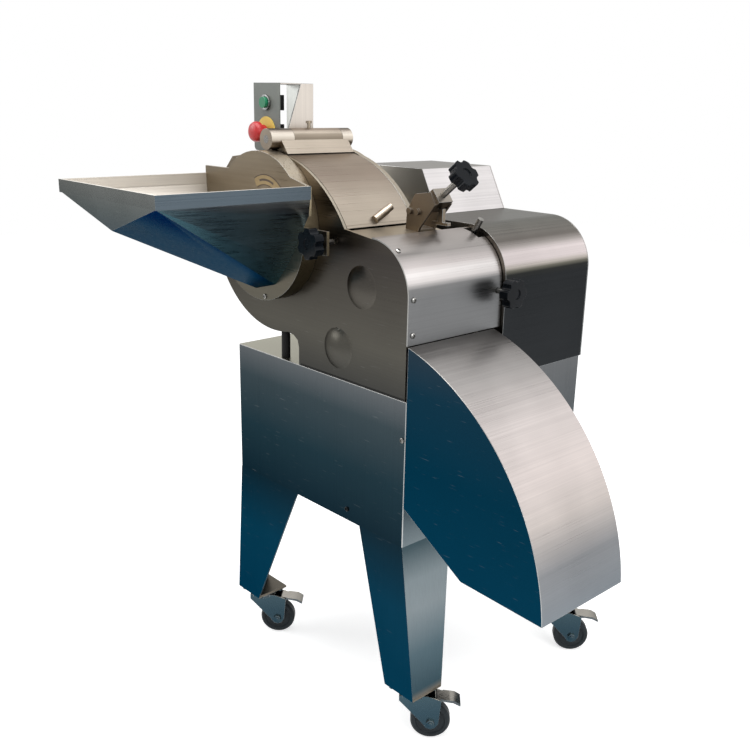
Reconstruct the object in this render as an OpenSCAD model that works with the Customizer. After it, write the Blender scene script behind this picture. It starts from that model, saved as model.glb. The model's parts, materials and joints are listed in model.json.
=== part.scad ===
// Vegetable dicer: a drum slicer with disc knives and cross-cut knives, on a wheeled stand.
// Millimetres, +Z up. The feed hopper points to -Y and the discharge chute to +X.
// Inside the modules x = 0 is the right face of the stand, y = 0 its front face, z = 0 the floor.

/* [Stand] */
// width of the cabinet
stand_w = 520; // [480:5:560]
// depth of the cabinet
stand_d = 515; // [500:5:560]
// height of the deck above the floor
stand_h = 720; // [660:5:800]
// height of the lower edge of the cabinet walls
waist_h = 435; // [400:5:460]
// sheet thickness of the cabinet
sheet = 3; // [2:0.5:4]
// arch in the front wall, distance of its left end from the right face
arch_left = 317; // [290:1:340]
// arch in the front wall, distance of its right end from the right face
arch_right = 120; // [100:1:150]
// width of the leg flanges at the waist, on the sides
leg_side_w = 130; // [110:1:150]
// width of the leg flanges at the foot
leg_foot_w = 80; // [74:1:90]
// sideways spread of the legs at the foot
splay_side = 35; // [0:1:50]
// backward spread of the rear legs at the foot
splay_rear = 45; // [0:1:60]
// distance the front legs lean back at the foot
lean_front = 8; // [0:1:20]
// thickness of the foot plates
foot_t = 5; // [4:0.5:8]
// height of the motor shelf
shelf_h = 480; // [465:1:490]

/* [Casters] */
// wheel diameter
wheel_d = 80; // [70:1:84]
// wheel width
wheel_w = 28; // [22:1:32]
// distance from the swivel axis back to the wheel axle
trail = 37; // [30:1:42]
// direction in which the wheels trail
caster_dir = 45; // [0:5:90]
// total height of a caster
caster_h = 113; // [112:1:125]
// reach of the brake pedal from the swivel axis
pedal_reach = 96; // [90:1:105]
// width of the brake pedal
pedal_w = 34; // [28:1:40]

/* [Drum] */
// distance of the drum axis from the right face of the stand
drum_inset = 391; // [385:1:396]
// height of the drum axis above the deck
drum_rise = 270; // [266:1:274]
// inner radius of the drum
drum_r = 133; // [130:1:135]
// wall of the drum
drum_t = 8; // [6:0.5:10]
// length of the drum
drum_len = 170; // [160:1:180]
// thickness of the front plate
plate_t = 6; // [5:0.5:8]
// thickness of the bearing plate behind the drum
back_t = 12; // [10:1:14]
// rim radius of the front plate round the drum
rim_r = 214; // [205:1:220]
// round opening in the front plate
mouth_r = 125; // [120:1:128]
// distance of the front plate's lower left edge from the right face
foot_left = 309; // [300:1:315]

/* [Impeller] */
// number of paddles
paddles = 4; // [3:1:6]
// gap between the paddles and the drum
paddle_gap = 5; // [2:0.5:6]
// thickness of a paddle
paddle_t = 8; // [6:1:12]
// shaft radius
imp_shaft_r = 20; // [18:0.5:22]

/* [Knives] */
// distance of the disc-knife axis from the right face
disc_inset = 124; // [120:1:128]
// height of the disc-knife axis above the deck
disc_rise = 187; // [184:1:190]
// radius of the disc knives
disc_r = 82; // [76:1:84]
// spacing of the disc knives
disc_pitch = 12; // [10:1:14]
// thickness of a disc knife
disc_t = 2; // [1.5:0.5:3]
// radius of the cross-cut knives
cross_r = 54; // [50:1:55]
// number of cross-cut knives
cross_blades = 6; // [4:1:8]
// direction from the disc axis to the cross-cut axis
cross_dir = 243; // [241:1:245]
// radius of both spindles
spindle_r = 15; // [13:0.5:16]
// height of the slicing knife edge above the drum axis
knife_edge = 10; // [6:1:12]

/* [Gears and belts] */
// gear module
gear_m = 3; // [3:1:3]
// teeth of the disc-knife gear
disc_teeth = 61; // [61:1:61]
// teeth of the cross-cut gear
cross_teeth = 34; // [34:1:34]
// width of the gears
gear_w = 25; // [20:1:30]
// play between the teeth
backlash = 0.6; // [0.4:0.1:0.8]
// radius of the driven pulley
driven_r = 90; // [84:1:92]
// radius of the motor pulley
motor_pulley_r = 32; // [28:1:36]
// radius of the transfer pulley on the impeller shaft
transfer_r = 66; // [60:1:68]
// radius of the pulley on the disc-knife spindle
spindle_pulley_r = 33; // [30:1:36]
// width of a pulley
pulley_w = 24; // [20:1:28]

/* [Gate] */
// radius of the outer skin
gate_r = 274; // [268:1:280]
// skin thickness
gate_t = 4; // [3:0.5:5]
// distance of the hinge axis above the drum axis
barrel_rise = 166; // [165:1:170]
// radius of the hinge barrel
barrel_r = 20; // [18:0.5:20]
// radius of the hinge pin
gate_pin_r = 8; // [6:0.5:10]
// rest opening of the gate in degrees
gate_open = 3; // [2.5:0.5:4]
// height of the lower end of the gate above the deck
gate_end = 287; // [285:1:290]

/* [Knife cover] */
// corner radius of the front plate under the cover
cover_r = 95; // [90:1:98]
// distance of the plate's right edge from the right face
cover_inset = 5; // [4:1:8]
// height of the corner's centre above the deck
cover_rise = 183; // [180:1:186]
// sheet thickness of the cover
cover_t = 2.5; // [2:0.5:3]
// depth of the cover
cover_d = 247; // [240:1:255]
// reach of the comb lever from the disc axis
lever_reach = 133; // [125:1:140]
// direction of the comb lever
lever_dir = 59; // [55:1:63]
// direction of the comb bar
comb_dir = -35; // [-40:1:-30]
// swing of the comb lever to either side in degrees
comb_swing = 6; // [4:1:8]

/* [Gear housing] */
// height of the housing above the deck
house_h = 288; // [288:1:300]
// overhang of the housing past the right face
house_over = 5; // [0:1:10]
// corner radius of the housing
house_r = 100; // [90:1:105]
// sheet thickness of the housing
house_t = 3; // [2:0.5:4]
// height of the raised belt box above the deck
box_h = 377; // [372:1:390]
// distance of the belt box behind the front face
box_front = 298; // [290:1:305]
// slant of the belt box sides
box_slant = 47; // [30:1:50]

/* [Hopper and door] */
// width of the hopper rim
hopper_w = 348; // [330:2:360]
// reach of the hopper in front of the door
hopper_len = 314; // [280:2:340]
// height of the hopper rim above the deck
hopper_top = 361; // [355:1:368]
// height of the rim band
lip_h = 24; // [18:1:30]
// thickness of the rim band
lip_t = 5; // [4:0.5:8]
// height of the hopper floor at the front, above the deck
floor_front = 284; // [275:1:295]
// height of the hopper floor at the door, above the deck
floor_rear = 146; // [143:1:150]
// wall thickness of the hopper
hopper_t = 3; // [2:0.5:4]
// radius of the round door
door_r = 145; // [140:1:145]
// depth of the door rim
door_depth = 30; // [26:1:34]
// thickness of the door sheet
door_t = 6; // [5:0.5:8]
// radius of the feed opening in the door
inlet_r = 105; // [98:1:108]
// height of the flat top of the feed opening above the drum axis
inlet_top = 60; // [50:1:66]
// radius of the door hinge pin
door_pin_r = 6; // [5:0.5:7]
// radius of the star knobs
knob_r = 28; // [25:0.5:31]

/* [Chute] */
// reach of the chute past the right face
chute_reach = 327; // [310:1:340]
// radius of the curved hood
chute_r = 454; // [440:1:470]
// drop of the outlet below the deck
chute_drop = 300; // [285:1:305]
// depth of the chute
chute_d = 228; // [220:1:235]
// sheet thickness of the chute
chute_t = 2.5; // [2:0.5:3]
// distance of the inner lip from the right face
chute_lip = 147; // [135:1:160]
// drop of the hood's centre below the deck
chute_centre = 335; // [325:1:345]
// drop of the back wall's lower end below the deck
chute_back = 205; // [195:1:215]
// fall of the chute floor at the knee behind the back wall
knee_fall = 10; // [6:1:14]
// distance of the knee from the right face
knee_in = 17; // [12:1:22]
// fall of the chute floor's lip from the outlet
lip_fall = 7; // [4:1:10]

/* [Controls] */
// width of the control panel
panel_w = 87; // [80:1:95]
// height of the control panel
panel_h = 133; // [125:1:140]
// height of the panel's top edge above the deck
panel_top = 541; // [535:1:550]
// distance of the panel behind the front face
panel_y = 50; // [45:1:55]
// distance of the panel's right edge from the right face
panel_inset = 433; // [430:1:440]
// sheet thickness of panel and bracket
panel_t = 2.5; // [2:0.5:3]
// radius of the start button
start_r = 11; // [9:0.5:13]
// radius of the emergency stop head
estop_r = 20; // [18:0.5:22]
// travel of the start button
start_travel = 3; // [2:0.5:4]
// travel of the emergency stop
estop_travel = 5; // [4:0.5:6]

/* [Fits] */
// radial play of shafts and pins
run_gap = 0.05; // [0.02:0.01:0.1]
// gap between parts that slide past each other
slip_gap = 0.5; // [0.4:0.1:1]
// gap between sheets that lie on one another
lap_gap = 0.2; // [0.1:0.1:0.4]

/* [Hidden] */
$fn = 72;
eps = 0.5;
deck = stand_h;

// axes of the rotors
dx = -drum_inset;
dz = deck + drum_rise;
kx = -disc_inset;
kz = deck + disc_rise;
spindle_gap = gear_m * (disc_teeth + cross_teeth) / 2;
qx = kx + spindle_gap * cos(cross_dir);
qz = kz + spindle_gap * sin(cross_dir);

// stations along the machine
case_y0 = plate_t;
case_y1 = plate_t + drum_len;
case_y2 = case_y1 + back_t;
house_y0 = cover_d + 2;
house_y1 = stand_d - house_t;
gear_y = house_y0 + 26;
transfer_y = gear_y + gear_w + 20;
drive_y = transfer_y + pulley_w + 40;
tube_y1 = house_y0 + house_t + 4;
imp_tube_y1 = box_front + house_t + 4;

// bearings: bore, outer radius, width
brg_r = 27.5;
brg_w = 13;
imp_brg_r = 34;
imp_brg_w = 15;
tube_r = brg_r + 8;
imp_tube_r = imp_brg_r + 8;
tube_brg_y0 = case_y2 + 3;
tube_brg_y1 = tube_y1 - brg_w - 2;
imp_brg_y1 = imp_tube_y1 - imp_brg_w - 2;

// knife cover corner
cvx = -cover_inset - cover_r;
cvz = deck + cover_rise;
chute_cx = chute_reach - chute_r;
chute_cz = deck - chute_centre;
chute_top = chute_cz + sqrt(chute_r * chute_r - chute_cx * chute_cx);
cover_low = chute_top + 1;

// gate
barrel_x = dx + 1;
barrel_z = dz + barrel_rise;
gate_cx = dx - 13;
gate_cz = dz - 131;
gate_end_z = deck + gate_end;
gate_end_x = gate_cx + sqrt(gate_r * gate_r - pow(gate_end_z - gate_cz, 2));
gate_y0 = case_y0 + 1;
gate_y1 = case_y1 - 1;
ring_front = 40;
ring_back = 12;

// guide plate that leads the slices to the disc knives
guide_gap = 2;
guide_t = 4;
guide_dir = 210;
guide_up = 72;
guide_down = 12;

// slicing knife
knife_t = 3;
knife_x = dx + drum_r;
knife_z = dz + knife_edge;
knife_h = 56;
back_r = drum_r + drum_t + 5;
shell_a0 = 95;
shell_a1 = 334;

// door
door_y1 = -door_depth;
door_y0 = door_y1 - door_t;
hinge_x = dx - 196;
hinge_y = -door_depth / 2 - 4;
hinge_r = 13;
knob_x = dx + 193;
knob_z = dz - 8;
clamp_r = 5;
clamp_back = 7;
knob_stand = 12;
knob_hub = 8;
knob_h = 20;
ear_top = deck + hopper_top + 15;

// hopper
hop_x = dx - 10;
hop_y1 = door_y0;
hop_y0 = hop_y1 - hopper_len;
hop_z = deck + hopper_top;

// control station
panel_x1 = -panel_inset;
panel_x0 = panel_x1 - panel_w;
panel_z1 = deck + panel_top;
panel_z0 = panel_z1 - panel_h;
panel_cx = (panel_x0 + panel_x1) / 2;
start_z = panel_z1 - 38;
estop_z = panel_z1 - 95;

// cable glands
entry_r = 8;
panel_cable_r = 4;
elbow_drop = 8;
elbow_l = 24;
gland_r = 10;
mains_cable_r = 5;
gland_x = -60;
gland_z = deck + 70;

// motor
shelf_t = 6;
motor_x = dx + 40;
motor_r = 78;
motor_flange = 8;
motor_z = shelf_h + shelf_t + slip_gap + motor_r + motor_flange;
motor_y0 = 130;
motor_y1 = 350;
motor_shaft_r = 12;

// casters
foot_h = caster_h;
wheel_r = wheel_d / 2;
foot_c = leg_foot_w / 2;
leg_x0 = -stand_w - splay_side;
leg_x1 = splay_side;
leg_y0 = lean_front;
leg_y1 = stand_d + splay_rear;
cast_x = [leg_x0 + foot_c, leg_x1 - foot_c, leg_x0 + foot_c, leg_x1 - foot_c];
cast_y = [leg_y0 + foot_c, leg_y0 + foot_c, leg_y1 - foot_c, leg_y1 - foot_c];
axle_r = 5;
king_r = 6;
fork_t = 3;
fork_in = wheel_w / 2 + 2;
fork_back = 27;
fork_fore = 30;
cup_h = 8;
crown_z1 = foot_h - 4 - cup_h - slip_gap;
crown_z0 = crown_z1 - 5;
pivot_x = trail + 12;
pivot_z = crown_z0 - 7;
pivot_r = 3;

// frame: centre of the box in plan, floor at zero
x_lo = dx - rim_r;
x_hi = chute_reach;
y_lo = hop_y0 - lip_t;
y_hi = cast_y[2] + (pedal_reach + pedal_w / 2) * sin(45);
org = [-(x_lo + x_hi) / 2, -(y_lo + y_hi) / 2, 0];

// part to draw

steel = [0.74, 0.74, 0.73];
dark_steel = [0.45, 0.46, 0.47];
black = [0.05, 0.05, 0.05];
belt_grey = [0.1, 0.1, 0.1];
panel_grey = [0.66, 0.67, 0.68];
motor_grey = [0.35, 0.38, 0.42];

module place() {
    translate(org) children();
}

// a profile drawn in x and z, extruded along y
module along_y(y0, y1) {
    translate([0, y1, 0]) rotate([90, 0, 0]) linear_extrude(y1 - y0) children();
}

// a profile drawn in y and z, extruded along x
module along_x(x0, x1) {
    translate([x0, 0, 0]) rotate([90, 0, 90]) linear_extrude(x1 - x0) children();
}

module rod_y(x, z, r, y0, y1) {
    translate([x, y1, z]) rotate([90, 0, 0]) cylinder(r = r, h = y1 - y0);
}

module ring_y(x, z, r0, r1, y0, y1) {
    difference() {
        rod_y(x, z, r1, y0, y1);
        rod_y(x, z, r0, y0 - eps, y1 + eps);
    }
}

// part of a ring about an axis along y, angles counted from +x towards +z
module sector_y(x, z, r0, r1, a0, a1, y0, y1) {
    translate([x, y1, z])
        rotate([90, 0, 0])
            rotate([0, 0, a0])
                rotate_extrude(angle = a1 - a0)
                    translate([r0, 0])
                        square([r1 - r0, y1 - y0]);
}

// stand
module stand_box() {
    difference() {
        translate([-stand_w, 0, waist_h]) cube([stand_w, stand_d, deck - waist_h]);
        translate([sheet - stand_w, sheet, waist_h - eps])
            cube([stand_w - 2 * sheet, stand_d - 2 * sheet, deck - waist_h - sheet + eps]);
        translate([dx - driven_r - 14, drive_y - 6, deck - 2 * sheet])
            cube([2 * driven_r + 28, pulley_w + 12, 3 * sheet]);
    }
    translate([eps - stand_w + sheet - 1, 100, shelf_h])
        cube([stand_w - 2 * sheet + 1, 300, shelf_t]);
}

module stand() {
    color(steel) place() stand_box();
}

module leg_flanges(sx, sy, xt, yt, xb, yb, top_w) {
    t = sheet;
    for (side = [0, 1]) {
        wx = side == 0 ? top_w : t;
        wy = side == 0 ? t : leg_side_w;
        bx = side == 0 ? leg_foot_w : t;
        by = side == 0 ? t : leg_foot_w;
        hull() {
            translate([xt + (sx > 0 ? -wx : 0), yt + (sy > 0 ? -wy : 0), waist_h - 1]) cube([wx, wy, 1]);
            translate([xb + (sx > 0 ? -bx : 0), yb + (sy > 0 ? -by : 0), foot_h]) cube([bx, by, 1]);
        }
    }
    translate([xb + (sx > 0 ? -leg_foot_w : 0), yb + (sy > 0 ? -leg_foot_w : 0), foot_h])
        cube([leg_foot_w, leg_foot_w, foot_t]);
}

module legs() {
    color(steel) place() {
        leg_flanges(-1, -1, -stand_w, 0, leg_x0, leg_y0, stand_w - arch_left);
        leg_flanges(1, -1, 0, 0, leg_x1, leg_y0, arch_right);
        leg_flanges(-1, 1, -stand_w, stand_d, leg_x0, leg_y1, stand_w - arch_left);
        leg_flanges(1, 1, 0, stand_d, leg_x1, leg_y1, arch_right);
    }
}

// casters: swivel axis at the origin, the wheel trails towards +x
module at_caster(i) {
    translate([cast_x[i], cast_y[i], 0]) rotate([0, 0, caster_dir]) children();
}

module caster_plates() {
    color(steel) place() for (i = [0 : 3]) {
        translate([cast_x[i] - 36, cast_y[i] - 36, foot_h - 4]) cube([72, 72, 4]);
        translate([cast_x[i], cast_y[i], foot_h - 4 - cup_h]) cylinder(r = 27, h = cup_h + 1);
        translate([cast_x[i], cast_y[i], crown_z0 - 5 - slip_gap]) cylinder(r = king_r, h = 20);
        translate([cast_x[i], cast_y[i], crown_z0 - 5 - slip_gap]) cylinder(r = 11, h = 5);
    }
}

module fork_side() {
    difference() {
        polygon([
            [-fork_back, crown_z1], [fork_fore, crown_z1], [pivot_x + 8, pivot_z + 3], [pivot_x + 8, pivot_z - 5],
            [trail + 16, wheel_r - 2], [trail + 9, wheel_r - 12], [trail, wheel_r - 15], [trail - 9, wheel_r - 12],
            [trail - 16, wheel_r - 2], [-fork_back, crown_z0 - 6]
        ]);
        translate([trail, wheel_r]) circle(r = axle_r - 1);
    }
}

module fork() {
    difference() {
        union() {
            translate([0, 0, crown_z0]) cylinder(r = 27, h = crown_z1 - crown_z0);
            for (s = [-1, 1])
                along_y(s > 0 ? fork_in : -fork_in - fork_t, s > 0 ? fork_in + fork_t : -fork_in) fork_side();
            translate([-fork_back, -fork_in - 1, crown_z0])
                cube([fork_back + fork_fore, 2 * fork_in + 2, crown_z1 - crown_z0]);
            rod_y(trail, wheel_r, axle_r, -fork_in - fork_t - 3, fork_in + fork_t + 3);
            rod_y(pivot_x, pivot_z, pivot_r, -fork_in - fork_t, fork_in + fork_t);
        }
        translate([0, 0, crown_z0 - eps]) cylinder(r = king_r + run_gap, h = 10);
    }
}

module caster_fork(i) {
    color(steel) place() at_caster(i) fork();
}

module wheel() {
    translate([trail, 0, wheel_r])
        rotate([90, 0, 0])
            rotate_extrude()
                polygon([
                    [axle_r + run_gap, -wheel_w / 2], [14, -wheel_w / 2], [15, 3 - wheel_w / 2],
                    [wheel_r - 12, 3 - wheel_w / 2], [wheel_r - 10, -wheel_w / 2], [wheel_r - 4, -wheel_w / 2],
                    [wheel_r, 5 - wheel_w / 2], [wheel_r, wheel_w / 2 - 5], [wheel_r - 4, wheel_w / 2],
                    [wheel_r - 10, wheel_w / 2], [wheel_r - 12, wheel_w / 2 - 3], [15, wheel_w / 2 - 3],
                    [14, wheel_w / 2], [axle_r + run_gap, wheel_w / 2]
                ]);
}

module caster_wheel(i) {
    color(belt_grey) place() at_caster(i) wheel();
}

module pedal() {
    difference() {
        union() {
            rod_y(pivot_x, pivot_z, pivot_r + 3, 1 - fork_in, fork_in - 1);
            along_y(1 - fork_in, fork_in - 1)
                polygon([
                    [pivot_x, pivot_z + pivot_r + 3], [pivot_x + 24, pivot_z + 4], [pivot_x + 24, pivot_z],
                    [pivot_x, pivot_z - 2]
                ]);
            along_y(-pedal_w / 2, pedal_w / 2)
                polygon([
                    [pivot_x + 12, pivot_z + 5], [pedal_reach - 12, pivot_z + 3], [pedal_reach, pivot_z - 4],
                    [pedal_reach, pivot_z - 9], [pedal_reach - 14, pivot_z - 2], [pivot_x + 12, pivot_z + 1]
                ]);
        }
        rod_y(pivot_x, pivot_z, pivot_r + run_gap, -fork_in, fork_in);
    }
}

module caster_pedal(i) {
    color(dark_steel) place() at_caster(i) pedal();
}

// outline of the plates that carry the cutting chamber
module chamber_face() {
    translate([-foot_left, deck]) square([foot_left - cover_inset, cover_rise]);
    translate([-foot_left, deck]) square([foot_left + cvx, cover_rise + cover_r]);
    translate([cvx, cvz]) circle(r = cover_r);
    polygon([
        [cvx, cvz + cover_r], [gate_end_x, gate_end_z], [gate_end_x - 60, gate_end_z - 60], [cvx, cvz]
    ]);
    intersection() {
        translate([gate_cx, gate_cz]) circle(r = gate_r, $fn = 160);
        translate([gate_cx, gate_cz]) square(gate_r);
    }
}

module front_outline() {
    chamber_face();
    intersection() {
        translate([dx, dz]) circle(r = rim_r, $fn = 160);
        polygon([
            [gate_cx, gate_cz + gate_r], [gate_cx - 124, gate_cz + gate_r - 17],
            [gate_cx - 190, gate_cz + gate_r - 83], [dx - rim_r - 1, dz - rim_r - 1],
            [-foot_left + 60, dz - rim_r - 1], [-foot_left + 60, gate_cz], [gate_cx, gate_cz + 100]
        ]);
    }
    polygon([
        [-foot_left, deck + 36], [-foot_left + 40, deck + 80], [-foot_left - 60, deck + 80],
        [-foot_left - 40, deck + 62], [-foot_left - 16, deck + 58], [-foot_left - 4, deck + 50]
    ]);
}

module dome(x, z) {
    dome_w = 40;
    dome_h = 13;
    dome_r = (dome_w * dome_w + dome_h * dome_h) / (2 * dome_h);
    translate([x, dome_r - dome_h, z])
        intersection() {
            difference() {
                sphere(r = dome_r, $fn = 120);
                sphere(r = dome_r - 3, $fn = 120);
            }
            rod_y(0, 0, dome_w, -dome_r - 1, dome_h - dome_r + eps);
        }
}

module front_plate() {
    color(steel) place() {
        difference() {
            union() {
                along_y(0, plate_t) front_outline();
                for (p = [[kx, kz], [qx, qz]])
                    rod_y(p[0], p[1], brg_r + 7, plate_t - 1, brg_w + 4);
            }
            rod_y(dx, dz, mouth_r, -eps, plate_t + eps);
            for (p = [[kx, kz], [qx, qz]])
                rod_y(p[0], p[1], brg_r + run_gap, -eps, brg_w + 5);
            rod_y(knob_x, knob_z, clamp_r + 1, -eps, plate_t + eps);
        }
        dome(kx, kz);
        dome(qx, qz);
    }
}

// drum, bearing plate and bearing tubes, welded to one casing
module back_outline() {
    chamber_face();
    translate([dx, dz]) circle(r = back_r);
}

module casing_body() {
    along_y(case_y1, case_y2) back_outline();
    sector_y(dx, dz, drum_r, drum_r + drum_t, shell_a0, shell_a1, case_y0, case_y1 + eps);
    rod_y(dx, dz, imp_tube_r, case_y2 - eps, imp_tube_y1);
    rod_y(kx, kz, tube_r, case_y2 - eps, tube_y1);
    rod_y(qx, qz, tube_r, case_y2 - eps, tube_y1);
    translate([-foot_left, case_y0, deck]) cube([chute_t, drum_len + eps, 150]);
    along_y(case_y0, case_y1 + eps) {
        polygon([
            [roof_x0, roof_z0 - 6], [roof_x0, roof_z0], [cvx, roof_z1], [cvx, roof_z1 - 6]
        ]);
        translate([kx, kz])
            rotate([0, 0, guide_dir])
                translate([disc_r + guide_gap, -guide_up])
                    square([guide_t, guide_up + guide_down]);
        polygon([
            [dx + 118, dz - 76], [knife_x + 28, dz - 64], [knife_x + 28, dz - 60], [dx + 118, dz - 72]
        ]);
    }
}

module drum_casing() {
    color(steel) place()
        difference() {
            casing_body();
            rod_y(dx, dz, imp_shaft_r + 2, case_y1 - eps, imp_tube_y1 + eps);
            rod_y(dx, dz, imp_brg_r + run_gap, tube_brg_y0, imp_tube_y1 + eps);
            for (p = [[kx, kz], [qx, qz]]) {
                rod_y(p[0], p[1], spindle_r + 2, case_y1 - eps, tube_y1 + eps);
                rod_y(p[0], p[1], brg_r + run_gap, tube_brg_y0, tube_y1 + eps);
            }
            sector_y(kx, kz, comb_r - 8, comb_r + 8, comb_dir - comb_swing - 6, comb_dir + comb_swing + 6,
                case_y1 - eps, case_y2 + eps);
        }
}

module knife_holder() {
    color(steel) place()
        along_y(case_y0, case_y1)
            polygon([
                [knife_x + knife_t, knife_z - 16], [knife_x + knife_t + 3, knife_z - 16],
                [knife_x + 26, dz - 60], [knife_x + knife_t, dz - 60]
            ]);
}

module slicing_knife() {
    color([0.85, 0.86, 0.87]) place()
        along_y(case_y0 + 2, case_y1 - 2)
            polygon([
                [knife_x, knife_z], [knife_x + knife_t, knife_z - 9], [knife_x + knife_t, knife_z - knife_h],
                [knife_x, knife_z - knife_h]
            ]);
}

// slice gate and its hinge
module hinge_rings() {
    color(steel) place()
        difference() {
            union() {
                rod_y(barrel_x, barrel_z, barrel_r, -15, ring_front - slip_gap);
                rod_y(barrel_x, barrel_z, barrel_r, gate_y1 - ring_back, case_y2 + 2);
                along_y(case_y0, ring_front - slip_gap)
                    polygon([
                        [barrel_x - barrel_r, dz + drum_r + drum_t - 1], [barrel_x - 11, dz + drum_r + drum_t - 1],
                        [barrel_x - 5, barrel_z], [barrel_x - barrel_r, barrel_z]
                    ]);
                along_y(gate_y1 - ring_back, case_y2)
                    polygon([
                        [barrel_x - barrel_r, dz + drum_r + drum_t - 1], [barrel_x - 11, dz + drum_r + drum_t - 1],
                        [barrel_x - 5, barrel_z], [barrel_x - barrel_r, barrel_z]
                    ]);
            }
            rod_y(barrel_x, barrel_z, gate_pin_r + run_gap, -16, case_y2 + 3);
            rod_y(dx, dz, drum_r + drum_t + run_gap, -16, case_y1);
            rod_y(dx, dz, back_r + lap_gap, case_y1 - lap_gap, case_y2 + 3);
            along_y(case_y1 - lap_gap, case_y2 + 3)
                translate([gate_cx, gate_cz])
                    circle(r = gate_r + lap_gap, $fn = 160);
        }
}

module gate_pin() {
    color(dark_steel) place() {
        rod_y(barrel_x, barrel_z, gate_pin_r, -15, case_y2 + 2);
        rod_y(barrel_x, barrel_z, gate_pin_r + 5, case_y2 + 2, case_y2 + 6);
    }
}

module gate_outline() {
    skin_a0 = asin((gate_end_z - gate_cz) / gate_r);
    intersection() {
        translate([gate_cx, gate_cz])
            difference() {
                circle(r = gate_r, $fn = 160);
                circle(r = gate_r - gate_t, $fn = 160);
            }
        polygon([
            [gate_cx, gate_cz], [gate_cx + 2 * gate_r * cos(skin_a0), gate_cz + 2 * gate_r * sin(skin_a0)],
            [gate_end_x, barrel_z + 200], [barrel_x + 8, barrel_z + 200], [barrel_x + 8, barrel_z - 60]
        ]);
    }
    translate([barrel_x, barrel_z])
        rotate([0, 0, gate_open])
            translate([-barrel_x, -barrel_z])
                intersection() {
                    translate([dx, dz])
                        difference() {
                            circle(r = drum_r + gate_t, $fn = 160);
                            circle(r = drum_r, $fn = 160);
                        }
                    polygon([
                        [dx, dz], [dx + 300, dz + 300 * tan(9)], [dx + 300, dz + 300], [barrel_x + 18, dz + 300],
                        [barrel_x + 18, dz + 60]
                    ]);
                }
    polygon([
        [knife_x + 8, gate_end_z + 8], [gate_end_x - 3, gate_end_z], [gate_end_x - 3, gate_end_z + 5],
        [knife_x + 8, gate_end_z + 13]
    ]);
    polygon([
        [barrel_x + 6, barrel_z - 10], [barrel_x + 19, barrel_z], [barrel_x + 40, barrel_z - 26],
        [barrel_x + 26, barrel_z - 34], [barrel_x + 12, barrel_z - 24]
    ]);
}

// water stub near the lower end of the gate
stub_r = 7;
stub_l = 46;
stub_step = 0.8;
nose_l = 12;

module at_stub() {
    translate([gate_end_x - 5, gate_y0 + 72, gate_end_z + 11]) rotate([-62, 0, 0]) children();
}

module gate() {
    color(steel) place()
        difference() {
            union() {
                along_y(gate_y0, gate_y1)
                    difference() {
                        gate_outline();
                        translate([barrel_x, barrel_z]) circle(r = barrel_r + slip_gap);
                    }
                along_y(ring_front, gate_y1 - ring_back - slip_gap)
                    intersection() {
                        gate_outline();
                        translate([barrel_x, barrel_z]) circle(r = barrel_r + 2);
                    }
                rod_y(barrel_x, barrel_z, barrel_r, ring_front, gate_y1 - ring_back - slip_gap);
                translate([barrel_x, ring_front + 50, barrel_z + barrel_r - 2]) {
                    cylinder(r = 3.5, h = 12);
                    translate([0, 0, 11]) cylinder(r = 6, h = 5);
                }
                at_stub() cylinder(r = stub_r + stub_step, h = stub_l - nose_l);
                at_stub() cylinder(r = stub_r, h = stub_l);
            }
            rod_y(barrel_x, barrel_z, gate_pin_r + run_gap, 0, case_y2);
            at_stub() translate([0, 0, 3]) cylinder(r = stub_r - 2, h = stub_l);
        }
}

// gate lock on the chamber roof
lock_y1 = case_y1 - 2;
lock_y0 = lock_y1 - 46;
lock_mid = (lock_y0 + lock_y1) / 2;
lock_x = gate_end_x + 86;
lock_z = gate_end_z + 51;
lock_tilt = 52;
lock_t = 5;
rod_r = 6;
knob_off = 68;

// top line of the chamber roof
roof_x0 = gate_end_x + 4;
roof_z0 = gate_end_z - 3;
roof_z1 = cvz + cover_r - 1;
function roof(x) = roof_z0 + (roof_z1 - roof_z0) * (x - roof_x0) / (cvx - roof_x0);

module lock_bracket() {
    foot_x0 = gate_end_x + 28;
    foot_x1 = cvx - 13;
    color(dark_steel) place() {
        for (y = [lock_y0, lock_y1 - lock_t])
            along_y(y, y + lock_t)
                polygon([
                    [foot_x0, roof(foot_x0)], [foot_x0 + 2, gate_end_z + 28], [lock_x - 36, lock_z + 10],
                    [lock_x + 4, lock_z + 16], [lock_x + 16, lock_z - 6], [foot_x1 + 4, roof(foot_x1) + 8],
                    [foot_x1, roof(foot_x1)]
                ]);
        along_y(lock_y0, lock_y1)
            polygon([
                [foot_x0, roof(foot_x0)], [foot_x0, roof(foot_x0) + lock_t],
                [foot_x1, roof(foot_x1) + lock_t], [foot_x1, roof(foot_x1)]
            ]);
        for (x = [foot_x0 + 12, lock_x - 26])
            rod_y(x, lock_z - 22, 6, lock_y0 - 6, lock_y0 + 1);
    }
}

module lock_block() {
    color(steel) place()
        difference() {
            union() {
                translate([lock_x, lock_y0 + lock_t, lock_z])
                    rotate([0, lock_tilt, 0])
                        translate([-15, 0, -17])
                            cube([30, lock_y1 - lock_y0 - 2 * lock_t, 34]);
                translate([lock_x + 6, lock_mid - 4, lock_z - 44]) cube([12, 8, 30]);
                translate([lock_x - 8, lock_mid - 4, lock_z - 44]) cube([40, 8, 6]);
            }
            translate([lock_x, lock_mid, lock_z])
                rotate([0, lock_tilt, 0])
                    translate([0, 0, -40])
                        cylinder(r = rod_r + run_gap, h = 80);
        }
}

// star knob: the threaded end points to -z
module star_knob(stud_r, stud_l) {
    difference() {
        cylinder(r = knob_r, h = knob_h);
        for (i = [0 : 5])
            rotate([0, 0, 60 * i]) translate([knob_r + 4, 0, -1]) cylinder(r = 9, h = knob_h + 2, $fn = 32);
        translate([0, 0, knob_h - 2]) cylinder(r = 10, h = 3);
    }
    translate([0, 0, -knob_hub]) cylinder(r1 = 11, r2 = 14, h = knob_hub + eps);
    translate([0, 0, -knob_hub - stud_l]) cylinder(r = stud_r, h = stud_l + knob_hub + 1);
}

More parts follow.
